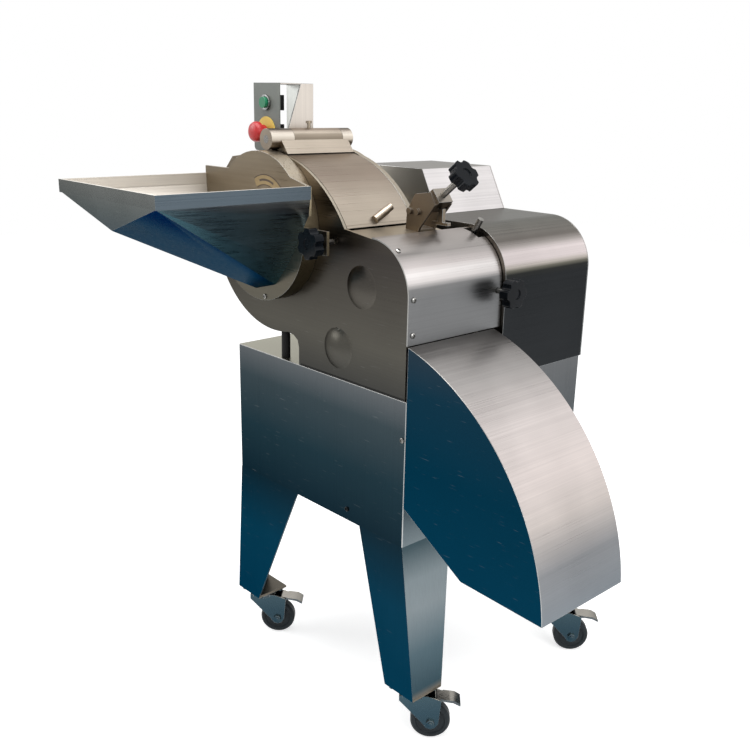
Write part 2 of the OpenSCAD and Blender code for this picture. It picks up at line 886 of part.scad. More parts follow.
module lock_knob() {
    color(black) place()
        translate([lock_x, lock_mid, lock_z])
            rotate([0, lock_tilt, 0])
                translate([0, 0, knob_off])
                    star_knob(rod_r, knob_off + 26);
}

// door with hinge, hopper and clamp knob
module door_lugs() {
    color(steel) place()
        difference() {
            for (z = [dz - 76, dz + 36])
                translate([0, 0, z])
                    linear_extrude(24) {
                        translate([hinge_x, hinge_y]) circle(r = hinge_r);
                        translate([hinge_x - hinge_r, hinge_y]) square([2 * hinge_r, -hinge_y]);
                    }
            translate([hinge_x, hinge_y, dz - 80]) cylinder(r = door_pin_r + run_gap, h = 160);
        }
}

module door_pin() {
    color(dark_steel) place() {
        translate([hinge_x, hinge_y, dz - 80]) cylinder(r = door_pin_r, h = 146);
        translate([hinge_x, hinge_y, dz + 60 + lap_gap]) cylinder(r = door_pin_r + 4, h = 5);
    }
}

module door_outline() {
    difference() {
        union() {
            translate([dx, dz]) circle(r = door_r);
            polygon([
                [hop_x - hopper_w / 2 + 1, dz + 36], [hop_x + hopper_w / 2 - 4, dz + 36],
                [hop_x + hopper_w / 2 - 4, hop_z - 2], [dx + 88, ear_top], [hop_x - hopper_w / 2 + 1, ear_top]
            ]);
            translate([dx + door_r - 30, knob_z - 22]) square([knob_x - dx - door_r + 48, 44]);
        }
        intersection() {
            translate([dx, dz]) circle(r = inlet_r);
            translate([dx - inlet_r, dz - inlet_r]) square([2 * inlet_r, inlet_r + inlet_top]);
        }
    }
}

module door() {
    color(steel) place()
        difference() {
            union() {
                along_y(door_y0, door_y1) door_outline();
                ring_y(dx, dz, door_r - 5, door_r, door_y1 - eps, -slip_gap);
                translate([hinge_x, hinge_y, dz - 51 + slip_gap]) cylinder(r = hinge_r, h = 86 - slip_gap);
                translate([hinge_x, door_y0, dz - 51 + slip_gap])
                    cube([dx - door_r - hinge_x + 12, hinge_y - door_y0 + 5, 86 - slip_gap]);
            }
            translate([hinge_x, hinge_y, dz - 80]) cylinder(r = door_pin_r + run_gap, h = 160);
            rod_y(knob_x, knob_z, clamp_r + run_gap, door_y0 - 1, door_y1 + 1);
        }
}

// hopper surface: rim corners, rear curve and floor ridge, each moved inwards by t
function hop_pts(t, lift, rear) = [
    [hop_x - hopper_w / 2 + t, hop_y0 + t, hop_z - lip_h + lift],
    [hop_x + hopper_w / 2 - t, hop_y0 + t, hop_z - lip_h + lift],
    [hop_x, hop_y0 + 10 + 2 * t, deck + floor_front + t],
    [hop_x - hopper_w / 2 + t, rear, hop_z - lip_h + lift],
    [hop_x - hopper_w / 2 + 5 + t, rear, hop_z - 54],
    [hop_x - hopper_w / 2 + 64 + t, rear, hop_z - 148 + t],
    [hop_x - 64 + t / 2, rear, hop_z - 198 + t],
    [hop_x, rear, deck + floor_rear + t],
    [hop_x + 64 - t / 2, rear, hop_z - 198 + t],
    [hop_x + hopper_w / 2 - 64 - t, rear, hop_z - 148 + t],
    [hop_x + hopper_w / 2 - 5 - t, rear, hop_z - 54],
    [hop_x + hopper_w / 2 - t, rear, hop_z - lip_h + lift]
];

hop_faces = [
    [0, 3, 11, 1], [0, 1, 2], [0, 4, 3], [0, 5, 4], [0, 6, 5], [0, 7, 6], [0, 2, 7],
    [1, 11, 10], [1, 10, 9], [1, 9, 8], [1, 8, 7], [1, 7, 2],
    [3, 4, 5, 6, 7, 8, 9, 10, 11]
];

module hopper() {
    color(steel) place() {
        difference() {
            polyhedron(hop_pts(0, 1, hop_y1), hop_faces);
            polyhedron(hop_pts(hopper_t, 2, hop_y1 + 5), hop_faces);
        }
        difference() {
            translate([hop_x - hopper_w / 2 - lip_t + hopper_t, hop_y0 - lip_t + hopper_t, hop_z - lip_h])
                cube([hopper_w + 2 * (lip_t - hopper_t), hopper_len + lip_t - hopper_t, lip_h]);
            translate([hop_x - hopper_w / 2 + hopper_t, hop_y0 + hopper_t, hop_z - lip_h - eps])
                cube([hopper_w - 2 * hopper_t, hopper_len + 10, lip_h + 2 * eps]);
        }
    }
}

module door_knob() {
    color(black) place()
        translate([knob_x, door_y0 - knob_stand, knob_z])
            rotate([90, 0, 0])
                star_knob(clamp_r, knob_stand - knob_hub + door_t + door_depth - clamp_back);
}

// rotors
module impeller() {
    imp_r = drum_r - paddle_gap;
    color(steel) place() {
        difference() {
            union() {
                rod_y(dx, dz, imp_r, case_y1 - 12, case_y1 - 4);
                rod_y(dx, dz, imp_shaft_r + 14, case_y1 - 60, case_y1 - 4);
                for (i = [0 : paddles - 1])
                    translate([dx, case_y0 + 8, dz])
                        rotate([0, 360 / paddles * i + 20, 0])
                            translate([58, 0, -paddle_t / 2])
                                cube([imp_r - 60, drum_len - 18, paddle_t]);
            }
            rod_y(dx, dz, imp_shaft_r + run_gap, case_y1 - 58, case_y1);
        }
    }
}

module impeller_shaft() {
    color(dark_steel) place()
        rod_y(dx, dz, imp_shaft_r, case_y1 - 56, drive_y + pulley_w + 12);
}

disc_n = floor((drum_len - 24) / disc_pitch);
disc_y = case_y0 + 14;
comb_r = disc_r + 14;
lever_y0 = house_y0 - 19;
lever_y1 = house_y0 - 3;

module disc_knives() {
    color([0.85, 0.86, 0.87]) place()
        for (i = [0 : disc_n - 1])
            difference() {
                rod_y(kx, kz, disc_r, disc_y + i * disc_pitch, disc_y + i * disc_pitch + disc_t);
                rod_y(kx, kz, spindle_r + run_gap, disc_y, disc_y + disc_n * disc_pitch);
            }
}

module disc_spindle() {
    color(dark_steel) place() {
        rod_y(kx, kz, spindle_r, 2, transfer_y + pulley_w + 10);
        for (i = [0 : disc_n - 2])
            rod_y(kx, kz, 28, disc_y + i * disc_pitch + disc_t, disc_y + (i + 1) * disc_pitch);
    }
}

module cross_rotor() {
    color(dark_steel) place() {
        rod_y(qx, qz, spindle_r, 2, gear_y + gear_w + 8);
        rod_y(qx, qz, cross_r - 16, case_y0 + 14, case_y1 - 6);
        for (i = [0 : cross_blades - 1])
            translate([qx, case_y0 + 16, qz])
                rotate([0, 360 / cross_blades * i, 0])
                    translate([20, 0, 0])
                        cube([cross_r - 20, drum_len - 26, 3]);
    }
}

module stripper_comb() {
    color(steel) place()
        translate([kx, 0, kz])
            rotate([0, -comb_dir, 0]) {
                rod_y(comb_r, 0, 6, disc_y, lever_y1);
                for (i = [0 : disc_n - 2])
                    translate([31, disc_y + i * disc_pitch + disc_t + 2, -4])
                        cube([comb_r - 31, disc_pitch - disc_t - 4, 8]);
            }
}

module comb_lever() {
    color(steel) place()
        translate([kx, 0, kz])
            difference() {
                union() {
                    rod_y(0, 0, tube_r + 9, lever_y0, lever_y1);
                    rotate([0, -comb_dir, 0])
                        translate([tube_r + 4, lever_y0, -9])
                            cube([comb_r - tube_r + 6, lever_y1 - lever_y0, 18]);
                    translate([0, (lever_y0 + lever_y1) / 2, 0])
                        rotate([0, 90 - lever_dir, 0])
                            translate([0, 0, tube_r + 4])
                                cylinder(r = 6, h = lever_reach - tube_r - 4);
                }
                rod_y(0, 0, tube_r + run_gap, lever_y0 - 1, lever_y1 + 1);
                rotate([0, -comb_dir, 0])
                    rod_y(comb_r, 0, 6 + run_gap, lever_y0 - 1, lever_y1 + 1);
            }
}

module bearing(x, z, r0, r1, y0, y1) {
    difference() {
        ring_y(x, z, r0, r1, y0, y1);
        for (y = [y0 - eps, y1 - 1])
            ring_y(x, z, r0 + (r1 - r0) * 0.35, r0 + (r1 - r0) * 0.65, y, y + 1 + eps);
    }
}

module bearings() {
    color(steel) place() {
        for (p = [[kx, kz], [qx, qz]])
            for (y = [2, tube_brg_y0, tube_brg_y1])
                bearing(p[0], p[1], spindle_r + run_gap, brg_r, y, y + brg_w);
        for (y = [tube_brg_y0, imp_brg_y1])
            bearing(dx, dz, imp_shaft_r + run_gap, imp_brg_r, y, y + imp_brg_w);
    }
}

// knife cover
module cover_profile(r) {
    translate([cvx, cvz]) circle(r = r);
    translate([cvx, cover_low]) square([r, cvz - cover_low]);
}

module cutter_cover() {
    cover_in = cover_r + lap_gap;
    slot_half = comb_swing + 5;
    color(steel) place()
        difference() {
            along_y(0, cover_d)
                difference() {
                    cover_profile(cover_in + cover_t);
                    cover_profile(cover_in);
                    translate([cvx - 2 * cover_r, cvz - 2 * cover_r]) square(2 * cover_r);
                    translate([cvx - 2 * cover_r, cvz]) square(2 * cover_r);
                    translate([cvx - 1, cover_low - 2 * cover_r]) square(2 * cover_r);
                }
            sector_y(kx, kz, 70, 130, lever_dir - slot_half, lever_dir + slot_half, lever_y0 - 2, cover_d + 1);
            translate([cvx, cover_knob_y, cover_knob_z]) rotate([0, 90, 0]) cylinder(r = 6, h = 200);
        }
}

cover_knob_y = house_y0 - 14;
cover_knob_z = cvz - 10;

module cover_knob() {
    color(black) place()
        translate([cvx + cover_r + 30, cover_knob_y, cover_knob_z])
            rotate([0, 90, 0])
                star_knob(clamp_r, 56);
}

// discharge chute
module chute_face() {
    intersection() {
        translate([chute_cx, chute_cz]) circle(r = chute_r, $fn = 180);
        polygon([
            [0, chute_top + 1], [chute_reach + 1, chute_top + 1], [chute_reach + 1, deck - chute_drop],
            [chute_lip, deck - chute_drop + lip_fall], [knee_in, deck - chute_back - knee_fall],
            [0, deck - chute_back]
        ]);
    }
}

module chute() {
    color(steel) place() {
        for (y = [0, chute_d - chute_t])
            along_y(y, y + chute_t) chute_face();
        along_y(0, chute_d) {
            difference() {
                chute_face();
                translate([chute_cx, chute_cz]) circle(r = chute_r - chute_t, $fn = 180);
            }
            intersection() {
                chute_face();
                union() {
                    translate([0, deck - chute_back - knee_fall]) square([chute_t, chute_back + knee_fall]);
                    polygon([
                        [knee_in, deck - chute_back - knee_fall], [0, deck - chute_back],
                        [0, deck - chute_back + chute_t], [knee_in + 1, deck - chute_back - knee_fall + chute_t],
                        [chute_lip, deck - chute_drop + lip_fall + chute_t + eps],
                        [chute_lip, deck - chute_drop + lip_fall]
                    ]);
                }
            }
        }
    }
}

// gear housing
module house_profile(t) {
    hcx = house_over - house_r;
    hcz = deck + house_h - house_r;
    translate([t - stand_w, deck - (t > 0 ? 1 : 0)])
        square([stand_w + house_over - 2 * t, house_h - house_r + (t > 0 ? 1 : 0)]);
    translate([t - stand_w, deck + 10]) square([stand_w + hcx - t, house_h - 10 - t]);
    translate([hcx, hcz]) circle(r = house_r - t);
}

box_x0 = 15 - stand_w;
box_x1 = dx + 163;

module box_profile(t, drop = 0) {
    skirt = drop > 0 ? [[box_x1 - t, deck + house_h - drop], [box_x0 + t, deck + house_h - drop]] : [];
    polygon(concat(skirt, [
        [box_x0 + t, deck + house_h], [box_x0 + box_slant + t, deck + box_h - t],
        [box_x1 - box_slant - t, deck + box_h - t], [box_x1 - t, deck + house_h]
    ]));
}

module gear_housing() {
    color(steel) place() {
        difference() {
            along_y(house_y0, house_y1) house_profile(0);
            along_y(house_y0 + house_t, house_y1 + 1) house_profile(house_t);
            translate([box_x0 + 8, box_front + 6, deck + house_h - 5])
                cube([box_x1 - box_x0 - 16, house_y1 - box_front, 10]);
            rod_y(dx, dz, imp_tube_r + lap_gap, house_y0 - 1, imp_tube_y1 + 4);
            for (p = [[kx, kz], [qx, qz]])
                rod_y(p[0], p[1], tube_r + lap_gap, house_y0 - 1, house_y0 + house_t + 1);
        }
        difference() {
            translate([-cover_inset - 34, house_y0 - 30, cover_knob_z - 14]) cube([30, 31, 28]);
            translate([-cover_inset - 40, cover_knob_y, cover_knob_z])
                rotate([0, 90, 0])
                    cylinder(r = clamp_r + run_gap, h = 50);
        }
    }
}

module belt_box() {
    color(steel) place()
        difference() {
            along_y(box_front, house_y1) box_profile(0);
            along_y(box_front + house_t, house_y1 + 1) box_profile(house_t, eps);
            rod_y(dx, dz, imp_tube_r + lap_gap, box_front - 1, box_front + house_t + 1);
        }
}

module rear_cover() {
    color(steel) place()
        difference() {
            union() {
                along_y(house_y1, stand_d) house_profile(0);
                along_y(house_y1, stand_d) box_profile(0, house_r / 2);
            }
            rod_y(gland_x, gland_z, gland_r, house_y1 - 1, stand_d + 1);
        }
}

// gears
function inv(a) = tan(a) * 180 / PI - a;
function flank_a(r, rp, z) =
    let (rb = rp * cos(20), a = r > rb ? acos(rb / r) : 0)
    90 / z - backlash / 4 / rp * 180 / PI + inv(20) - inv(a);

module gear_2d(z, turn) {
    rp = gear_m * z / 2;
    rr = [rp - 1.25 * gear_m, rp - 0.6 * gear_m, rp, rp + 0.5 * gear_m, rp + gear_m];
    rotate([0, 0, turn])
        polygon([
            for (i = [0 : z - 1])
                for (k = [0 : 9])
                    let (j = k < 5 ? k : 9 - k, s = k < 5 ? -1 : 1, a = 360 / z * i + s * flank_a(rr[j], rp, z))
                    rr[j] * [cos(a), sin(a)]
        ]);
}

module gear_at(x, z, teeth, turn) {
    along_y(gear_y, gear_y + gear_w)
        translate([x, z])
            difference() {
                gear_2d(teeth, turn);
                circle(r = spindle_r + run_gap);
            }
}

module spindle_gear() {
    color(dark_steel) place() gear_at(kx, kz, disc_teeth, cross_dir);
}

module cross_gear() {
    color(dark_steel) place() gear_at(qx, qz, cross_teeth, cross_dir + 180 + 180 / cross_teeth);
}

// pulleys and belts
belt_h = 8;
belt_w = 12;

module pulley(x, z, r, bore, y) {
    translate([x, y + pulley_w, z])
        rotate([90, 0, 0])
            rotate_extrude()
                polygon([
                    [bore + run_gap, 0], [r + 4, 0], [r + 4, 3], [r - 5, 5], [r - 5, pulley_w - 5],
                    [r + 4, pulley_w - 3], [r + 4, pulley_w], [bore + run_gap, pulley_w]
                ]);
}

module driven_pulley() {
    color(dark_steel) place() {
        pulley(dx, dz, driven_r, imp_shaft_r, drive_y);
        pulley(dx, dz, transfer_r, imp_shaft_r, transfer_y);
        ring_y(dx, dz, imp_shaft_r + run_gap, imp_shaft_r + 14, transfer_y + pulley_w - 1, drive_y + 1);
    }
}

module spindle_pulley() {
    color(dark_steel) place() pulley(kx, kz, spindle_pulley_r, spindle_r, transfer_y);
}

// open belt round two pulleys, each given as axis and radius
module belt_2d(x1, z1, r1, x2, z2, r2) {
    hull() {
        translate([x1, z1]) circle(r = r1, $fn = 96);
        translate([x2, z2]) circle(r = r2, $fn = 96);
    }
}

module belt(x1, z1, r1, x2, z2, r2, y) {
    mid = y + pulley_w / 2;
    grip = 4;
    along_y(mid - belt_w / 2, mid + belt_w / 2)
        difference() {
            belt_2d(x1, z1, r1 - grip + belt_h, x2, z2, r2 - grip + belt_h);
            belt_2d(x1, z1, r1 - grip, x2, z2, r2 - grip);
        }
}

module drive_belt() {
    color(belt_grey) place() belt(dx, dz, driven_r, motor_x, motor_z, motor_pulley_r, drive_y);
}

module transfer_belt() {
    color(belt_grey) place() belt(dx, dz, transfer_r, kx, kz, spindle_pulley_r, transfer_y);
}

// motor on the shelf
module motor() {
    color(motor_grey) place()
        difference() {
            union() {
                rod_y(motor_x, motor_z, motor_r, motor_y0, motor_y1 - 20);
                rod_y(motor_x, motor_z, motor_r + motor_flange, motor_y1 - 22, motor_y1);
                along_y(motor_y0 + 40, motor_y1 - 20)
                    translate([motor_x, motor_z])
                        for (a = [15 : 15 : 345])
                            rotate([0, 0, a - 180])
                                translate([motor_r - 3, -1.5])
                                    square([9, 3]);
                translate([motor_x - motor_r, motor_y0 + 60, shelf_h + shelf_t])
                    cube([2 * motor_r, 110, 26]);
                translate([motor_x - 45, motor_y0 + 60, motor_z + motor_r - 12]) cube([90, 80, 44]);
            }
            rod_y(motor_x, motor_z, motor_shaft_r + run_gap, motor_y0 + 30, motor_y1 + 1);
        }
}

module motor_rotor() {
    color(dark_steel) place() {
        rod_y(motor_x, motor_z, motor_shaft_r, motor_y0 + 32, drive_y + pulley_w + 4);
        pulley(motor_x, motor_z, motor_pulley_r, motor_shaft_r - 1, drive_y);
    }
}

// control station
module control_bracket() {
    back_y = panel_y + 86;
    color(steel) place()
        difference() {
            union() {
                along_x(panel_x1 - panel_t, panel_x1)
                    polygon([
                        [panel_y + 54, panel_z1], [back_y, panel_z1], [back_y, dz], [panel_y + 14, dz],
                        [panel_y + 14, panel_z1 - 110]
                    ]);
                translate([panel_x0, panel_y + panel_t, panel_z1 - panel_t])
                    cube([panel_w, back_y - panel_y - panel_t, panel_t]);
                translate([panel_x0, back_y - panel_t, dz]) cube([panel_w, panel_t, panel_z1 - dz]);
            }
            rod_y(dx, dz, drum_r + drum_t + run_gap, 0, back_y + 20);
        }
}

module control_panel() {
    color(panel_grey) place()
        difference() {
            union() {
                along_y(panel_y, panel_y + panel_t)
                    difference() {
                        translate([panel_x0, panel_z0]) square([panel_w, panel_h]);
                        for (x = [panel_x0, panel_x1 - 9])
                            difference() {
                                translate([x, panel_z0]) square(9);
                                translate([x == panel_x0 ? x + 9 : x, panel_z0 + 9]) circle(r = 9);
                            }
                    }
                translate([panel_x0 + 10, panel_y + panel_t - 1, panel_z0]) cube([panel_w - 20, 30, panel_t]);
            }
            rod_y(panel_cx, start_z, 8, panel_y - 1, panel_y + panel_t + 1);
            rod_y(panel_cx, estop_z, 10, panel_y - 1, panel_y + panel_t + 1);
            translate([panel_cx, panel_y + 18, panel_z0 - 1]) cylinder(r = entry_r, h = 6);
        }
}

module button_collars() {
    color(dark_steel) place() {
        for (b = [[start_z, 15, 8, 5], [estop_z, 30, 10, 2]])
            difference() {
                union() {
                    ring_y(panel_cx, b[0], b[2] - 2 + slip_gap, b[1], panel_y - b[3], panel_y);
                    ring_y(panel_cx, b[0], b[2] - 2 + slip_gap, b[2] - lap_gap, panel_y - 1, panel_y + panel_t + 6);
                    ring_y(panel_cx, b[0], b[2] - 2 + slip_gap, 14, panel_y + panel_t, panel_y + panel_t + 5);
                }
                if (b[0] == start_z) rod_y(panel_cx, b[0], start_r + slip_gap, panel_y - 9, panel_y - 1.5);
            }
        for (z = [start_z, estop_z])
            translate([panel_cx - 15, panel_y + panel_t + 6 - 1, z - 15]) cube([30, 26, 30]);
    }
}

module start_button() {
    color([0.05, 0.45, 0.2]) place() {
        rod_y(panel_cx, start_z, start_r, panel_y - 2 - start_travel - 6, panel_y - 2 - start_travel + slip_gap);
        rod_y(panel_cx, start_z, 6 + slip_gap - run_gap, panel_y - 3 - start_travel, panel_y + panel_t + 1);
    }
}

module estop_button() {
    color([0.7, 0.06, 0.05]) place() {
        translate([panel_cx, panel_y - 2 - estop_travel, estop_z])
            rotate([90, 0, 0])
                rotate_extrude()
                    polygon([
                        [0, slip_gap], [14, slip_gap], [14, 12], [estop_r, 14], [estop_r, 22], [estop_r - 3, 27],
                        [estop_r - 9, 30], [0, 31]
                    ]);
        rod_y(panel_cx, estop_z, 8 + slip_gap - run_gap, panel_y - 4 - estop_travel, panel_y + panel_t - 1);
    }
}

// elbow gland under the control panel, its nut turned down and away from the drum
module elbow_gland() {
    difference() {
        union() {
            cylinder(r = entry_r - lap_gap, h = 8);
            translate([0, 0, -5]) cylinder(r = entry_r + 3, h = 5, $fn = 6);
            translate([0, 0, -elbow_drop]) cylinder(r = entry_r - 0.5, h = elbow_drop);
            translate([0, 0, -elbow_drop]) sphere(r = entry_r + 0.5);
            translate([0, 0, -elbow_drop]) rotate([0, -135, 0]) cylinder(r = entry_r, h = elbow_l);
            translate([0, 0, -elbow_drop])
                rotate([0, -135, 0])
                    translate([0, 0, elbow_l - 8])
                        cylinder(r = entry_r + 2, h = 5, $fn = 6);
        }
        translate([0, 0, -elbow_drop - 1]) cylinder(r = panel_cable_r - 0.6, h = 40);
        translate([0, 0, -elbow_drop]) rotate([0, -135, 0]) translate([0, 0, -2]) cylinder(r = panel_cable_r, h = 40);
    }
}

module mains_gland() {
    difference() {
        union() {
            cylinder(r = gland_r + 3, h = 5, $fn = 6);
            cylinder(r = gland_r + 1, h = 20);
            translate([0, 0, -8]) cylinder(r = gland_r - lap_gap, h = 9);
        }
        translate([0, 0, -10]) cylinder(r = mains_cable_r, h = 40);
    }
}

module cable_glands() {
    color(black) place() {
        translate([panel_cx, panel_y + 18, panel_z0]) elbow_gland();
        translate([gland_x, stand_d, gland_z]) rotate([-90, 0, 0]) mains_gland();
    }
}

buffer_r = 9;

module drum_buffer() {
    color(black) place()
        difference() {
            translate([dx + 19, plate_t + buffer_r + slip_gap, deck]) cylinder(r = buffer_r, h = drum_rise - drum_r);
            rod_y(dx, dz, drum_r + drum_t + run_gap, 0, 40);
        }
}

module screws() {
    color(steel) place() {
        for (z = [cvz, cover_low + 18])
            translate([-cover_inset + lap_gap + cover_t, 12, z])
                rotate([0, 90, 0])
                    cylinder(r = 5, h = 3);
        translate([cvx, 12, cvz])
            rotate([0, 90 - 55, 0])
                translate([0, 0, cover_r + lap_gap + cover_t])
                    cylinder(r = 5, h = 3);
        for (x = [20 - stand_w, -stand_w / 2, -20])
            for (z = [deck + 20, deck + house_h - 100])
                translate([x, stand_d, z]) rotate([-90, 0, 0]) cylinder(r = 5, h = 3);
    }
}

stand();
legs();
caster_plates();
caster_fork(0);  // caster_fork_fl
caster_fork(1);  // caster_fork_fr
caster_fork(2);  // caster_fork_rl
caster_fork(3);  // caster_fork_rr
caster_wheel(0);  // caster_wheel_fl
caster_wheel(1);  // caster_wheel_fr
caster_wheel(2);  // caster_wheel_rl
caster_wheel(3);  // caster_wheel_rr
caster_pedal(0);  // caster_pedal_fl
caster_pedal(1);  // caster_pedal_fr
caster_pedal(2);  // caster_pedal_rl
caster_pedal(3);  // caster_pedal_rr
front_plate();
drum_casing();
knife_holder();
slicing_knife();
hinge_rings();
gate_pin();
gate();
lock_bracket();
lock_block();
lock_knob();
door_lugs();
door_pin();
door();
hopper();
door_knob();
impeller();
impeller_shaft();
disc_knives();
disc_spindle();
cross_rotor();
stripper_comb();
comb_lever();
bearings();
cutter_cover();
cover_knob();
chute();
gear_housing();
belt_box();
rear_cover();
spindle_gear();
cross_gear();
driven_pulley();
spindle_pulley();
drive_belt();
transfer_belt();
motor();
motor_rotor();
control_bracket();
control_panel();
start_button();
estop_button();
button_collars();
cable_glands();
drum_buffer();
screws();
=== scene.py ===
# %% [markdown]
# # A vegetable dicer in brushed stainless steel
# The machine slices vegetables in a drum, then cuts the slices with disc knives and cross-cut knives.
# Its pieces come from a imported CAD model, at their real size and place, so this lesson never moves them.
# We give every sheet its rolled edges and its brushed finish, add the small fittings, and light a studio.

# %% Load the frame
import json
import math

import bpy
from mathutils import Matrix, Vector


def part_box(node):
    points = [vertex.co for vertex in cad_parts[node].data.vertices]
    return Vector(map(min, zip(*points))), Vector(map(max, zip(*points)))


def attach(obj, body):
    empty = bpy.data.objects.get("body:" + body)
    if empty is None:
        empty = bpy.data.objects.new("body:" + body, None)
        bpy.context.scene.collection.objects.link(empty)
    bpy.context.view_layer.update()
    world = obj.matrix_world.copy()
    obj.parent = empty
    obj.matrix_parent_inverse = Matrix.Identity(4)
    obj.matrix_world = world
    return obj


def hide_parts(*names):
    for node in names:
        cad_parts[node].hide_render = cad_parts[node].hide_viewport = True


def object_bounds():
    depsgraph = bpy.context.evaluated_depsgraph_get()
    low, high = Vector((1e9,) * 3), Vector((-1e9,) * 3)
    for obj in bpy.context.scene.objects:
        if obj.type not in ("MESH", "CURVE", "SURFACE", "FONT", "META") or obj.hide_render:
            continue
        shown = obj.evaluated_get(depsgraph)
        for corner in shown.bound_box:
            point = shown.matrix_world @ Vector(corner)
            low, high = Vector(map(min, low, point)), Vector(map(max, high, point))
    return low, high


for leftover in ("Cube", "Light", "Camera"):
    if leftover in bpy.data.objects:
        bpy.data.objects.remove(bpy.data.objects[leftover])

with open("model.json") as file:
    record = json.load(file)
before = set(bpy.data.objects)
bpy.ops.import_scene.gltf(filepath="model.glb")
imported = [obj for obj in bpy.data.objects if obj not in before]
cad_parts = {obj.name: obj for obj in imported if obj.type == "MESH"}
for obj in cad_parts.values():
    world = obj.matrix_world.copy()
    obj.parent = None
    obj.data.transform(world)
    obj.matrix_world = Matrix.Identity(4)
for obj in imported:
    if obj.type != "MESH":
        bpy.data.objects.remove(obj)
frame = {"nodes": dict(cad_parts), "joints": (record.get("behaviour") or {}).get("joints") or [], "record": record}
cad_low, cad_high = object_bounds()
cad_nodes = frame["nodes"]
joints = {joint["name"]: joint for joint in frame["joints"]}
body_of_node = {}
for body, nodes in frame["record"]["behaviour"]["bodies"].items():
    body_of_node.update(dict.fromkeys(nodes, body))

# %% [markdown]
# ## Where things are
# A fitter measures this machine from one corner of the cabinet: its right face, its front face and the
# deck. The helper `spot` turns such a measure in millimetres into a point of the frame, in metres.

# %% Measure from the cabinet's corner
MM = 0.001
stand_low, stand_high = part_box("stand")
RIGHT_FACE = stand_high.x
FRONT_FACE = stand_low.y
DECK = stand_high.z


def spot(x, y, z):
    """A point given from the right face, the front face and the deck, in millimetres."""
    return Vector((RIGHT_FACE + x * MM, FRONT_FACE + y * MM, DECK + z * MM))


print("deck height", round(DECK, 3), "m, whole height", round(cad_high.z, 3), "m")

# %% [markdown]
# ## Node tools
# Every finish below is a small tree of shader nodes. The same few steps come back each time: make a node,
# set its values, link it. Short helpers keep the trees readable. Colours are written as a painter's
# values from 0 to 255 and turned into linear light, because shader sockets expect linear values.

# %% Helpers for shader trees


def linear(value):
    """One channel from 0 to 255, as linear light."""
    share = value / 255
    return share / 12.92 if share <= 0.04045 else ((share + 0.055) / 1.055) ** 2.4


def tone(red, green, blue):
    """A colour from 0 to 255, as a linear colour with alpha."""
    return (linear(red), linear(green), linear(blue), 1.0)


class Tree:
    """A material's node tree with the few steps that the finishes share."""

    def __init__(self, name):
        self.material = bpy.data.materials.new(name)
        self.material.use_nodes = True
        self.nodes = self.material.node_tree.nodes
        self.links = self.material.node_tree.links
        self.nodes.clear()
        self.shader = self.nodes.new("ShaderNodeBsdfPrincipled")
        output = self.nodes.new("ShaderNodeOutputMaterial")
        self.links.new(self.shader.outputs["BSDF"], output.inputs["Surface"])
        self.coords = self.nodes.new("ShaderNodeTexCoord")

    def put(self, socket, value):
        """Links a socket, or sets a plain value."""
        if isinstance(value, bpy.types.NodeSocket):
            self.links.new(value, socket)
        else:
            socket.default_value = value

    def axis(self, output, index):
        """One component of an output of the texture coordinates."""
        split = self.nodes.new("ShaderNodeSeparateXYZ")
        self.links.new(self.coords.outputs[output], split.inputs[0])
        return split.outputs[index]

    def span(self, value, low, high, to_low=0.0, to_high=1.0):
        """Maps a value from one range to another and stops at its ends."""
        node = self.nodes.new("ShaderNodeMapRange")
        for index, amount in enumerate((value, low, high, to_low, to_high)):
            self.put(node.inputs[index], amount)
        return node.outputs[0]

    def ramp(self, value, low, high, stops):
        """Colours along a value: stops are (value, colour) pairs."""
        node = self.nodes.new("ShaderNodeValToRGB")
        ordered = sorted(stops, key=lambda stop: stop[0])
        elements = node.color_ramp.elements
        while len(elements) < len(ordered):
            elements.new(0.5)
        while len(elements) > max(len(ordered), 1):
            elements.remove(elements[-1])
        for index, (at, colour) in enumerate(ordered):
            elements[index].position = min(max((at - low) / (high - low), 0.0), 1.0)
            elements[index].color = colour
        self.links.new(self.span(value, low, high), node.inputs[0])
        return node.outputs[0]

    def noise(self, scale, detail=2.0, roughness=0.5, turn=(0, 0, 0), shift=(0, 0, 0)):
        """Noise in the object's own space; scale is in cells per metre along x, y and z."""
        mapping = self.nodes.new("ShaderNodeMapping")
        mapping.inputs["Scale"].default_value = scale
        mapping.inputs["Rotation"].default_value = turn
        mapping.inputs["Location"].default_value = shift
        self.links.new(self.coords.outputs["Object"], mapping.inputs["Vector"])
        node = self.nodes.new("ShaderNodeTexNoise")
        node.inputs["Scale"].default_value = 1.0
        node.inputs["Detail"].default_value = detail
        node.inputs["Roughness"].default_value = roughness
        self.links.new(mapping.outputs["Vector"], node.inputs["Vector"])
        return node.outputs["Fac"]

    def mix(self, factor, first, second, blend="MIX"):
        """Mixes two colours."""
        node = self.nodes.new("ShaderNodeMix")
        node.data_type = "RGBA"
        node.blend_type = blend
        self.put(node.inputs[0], factor)
        self.put(node.inputs[6], first)
        self.put(node.inputs[7], second)
        return node.outputs[2]

    def maths(self, step, first, second):
        """One arithmetic step."""
        node = self.nodes.new("ShaderNodeMath")
        node.operation = step
        self.put(node.inputs[0], first)
        self.put(node.inputs[1], second)
        return node.outputs[0]

    def bump(self, height, strength, distance):
        """Raises the surface by a height."""
        node = self.nodes.new("ShaderNodeBump")
        node.inputs["Strength"].default_value = strength
        node.inputs["Distance"].default_value = distance
        self.links.new(height, node.inputs["Height"])
        self.links.new(node.outputs["Normal"], self.shader.inputs["Normal"])


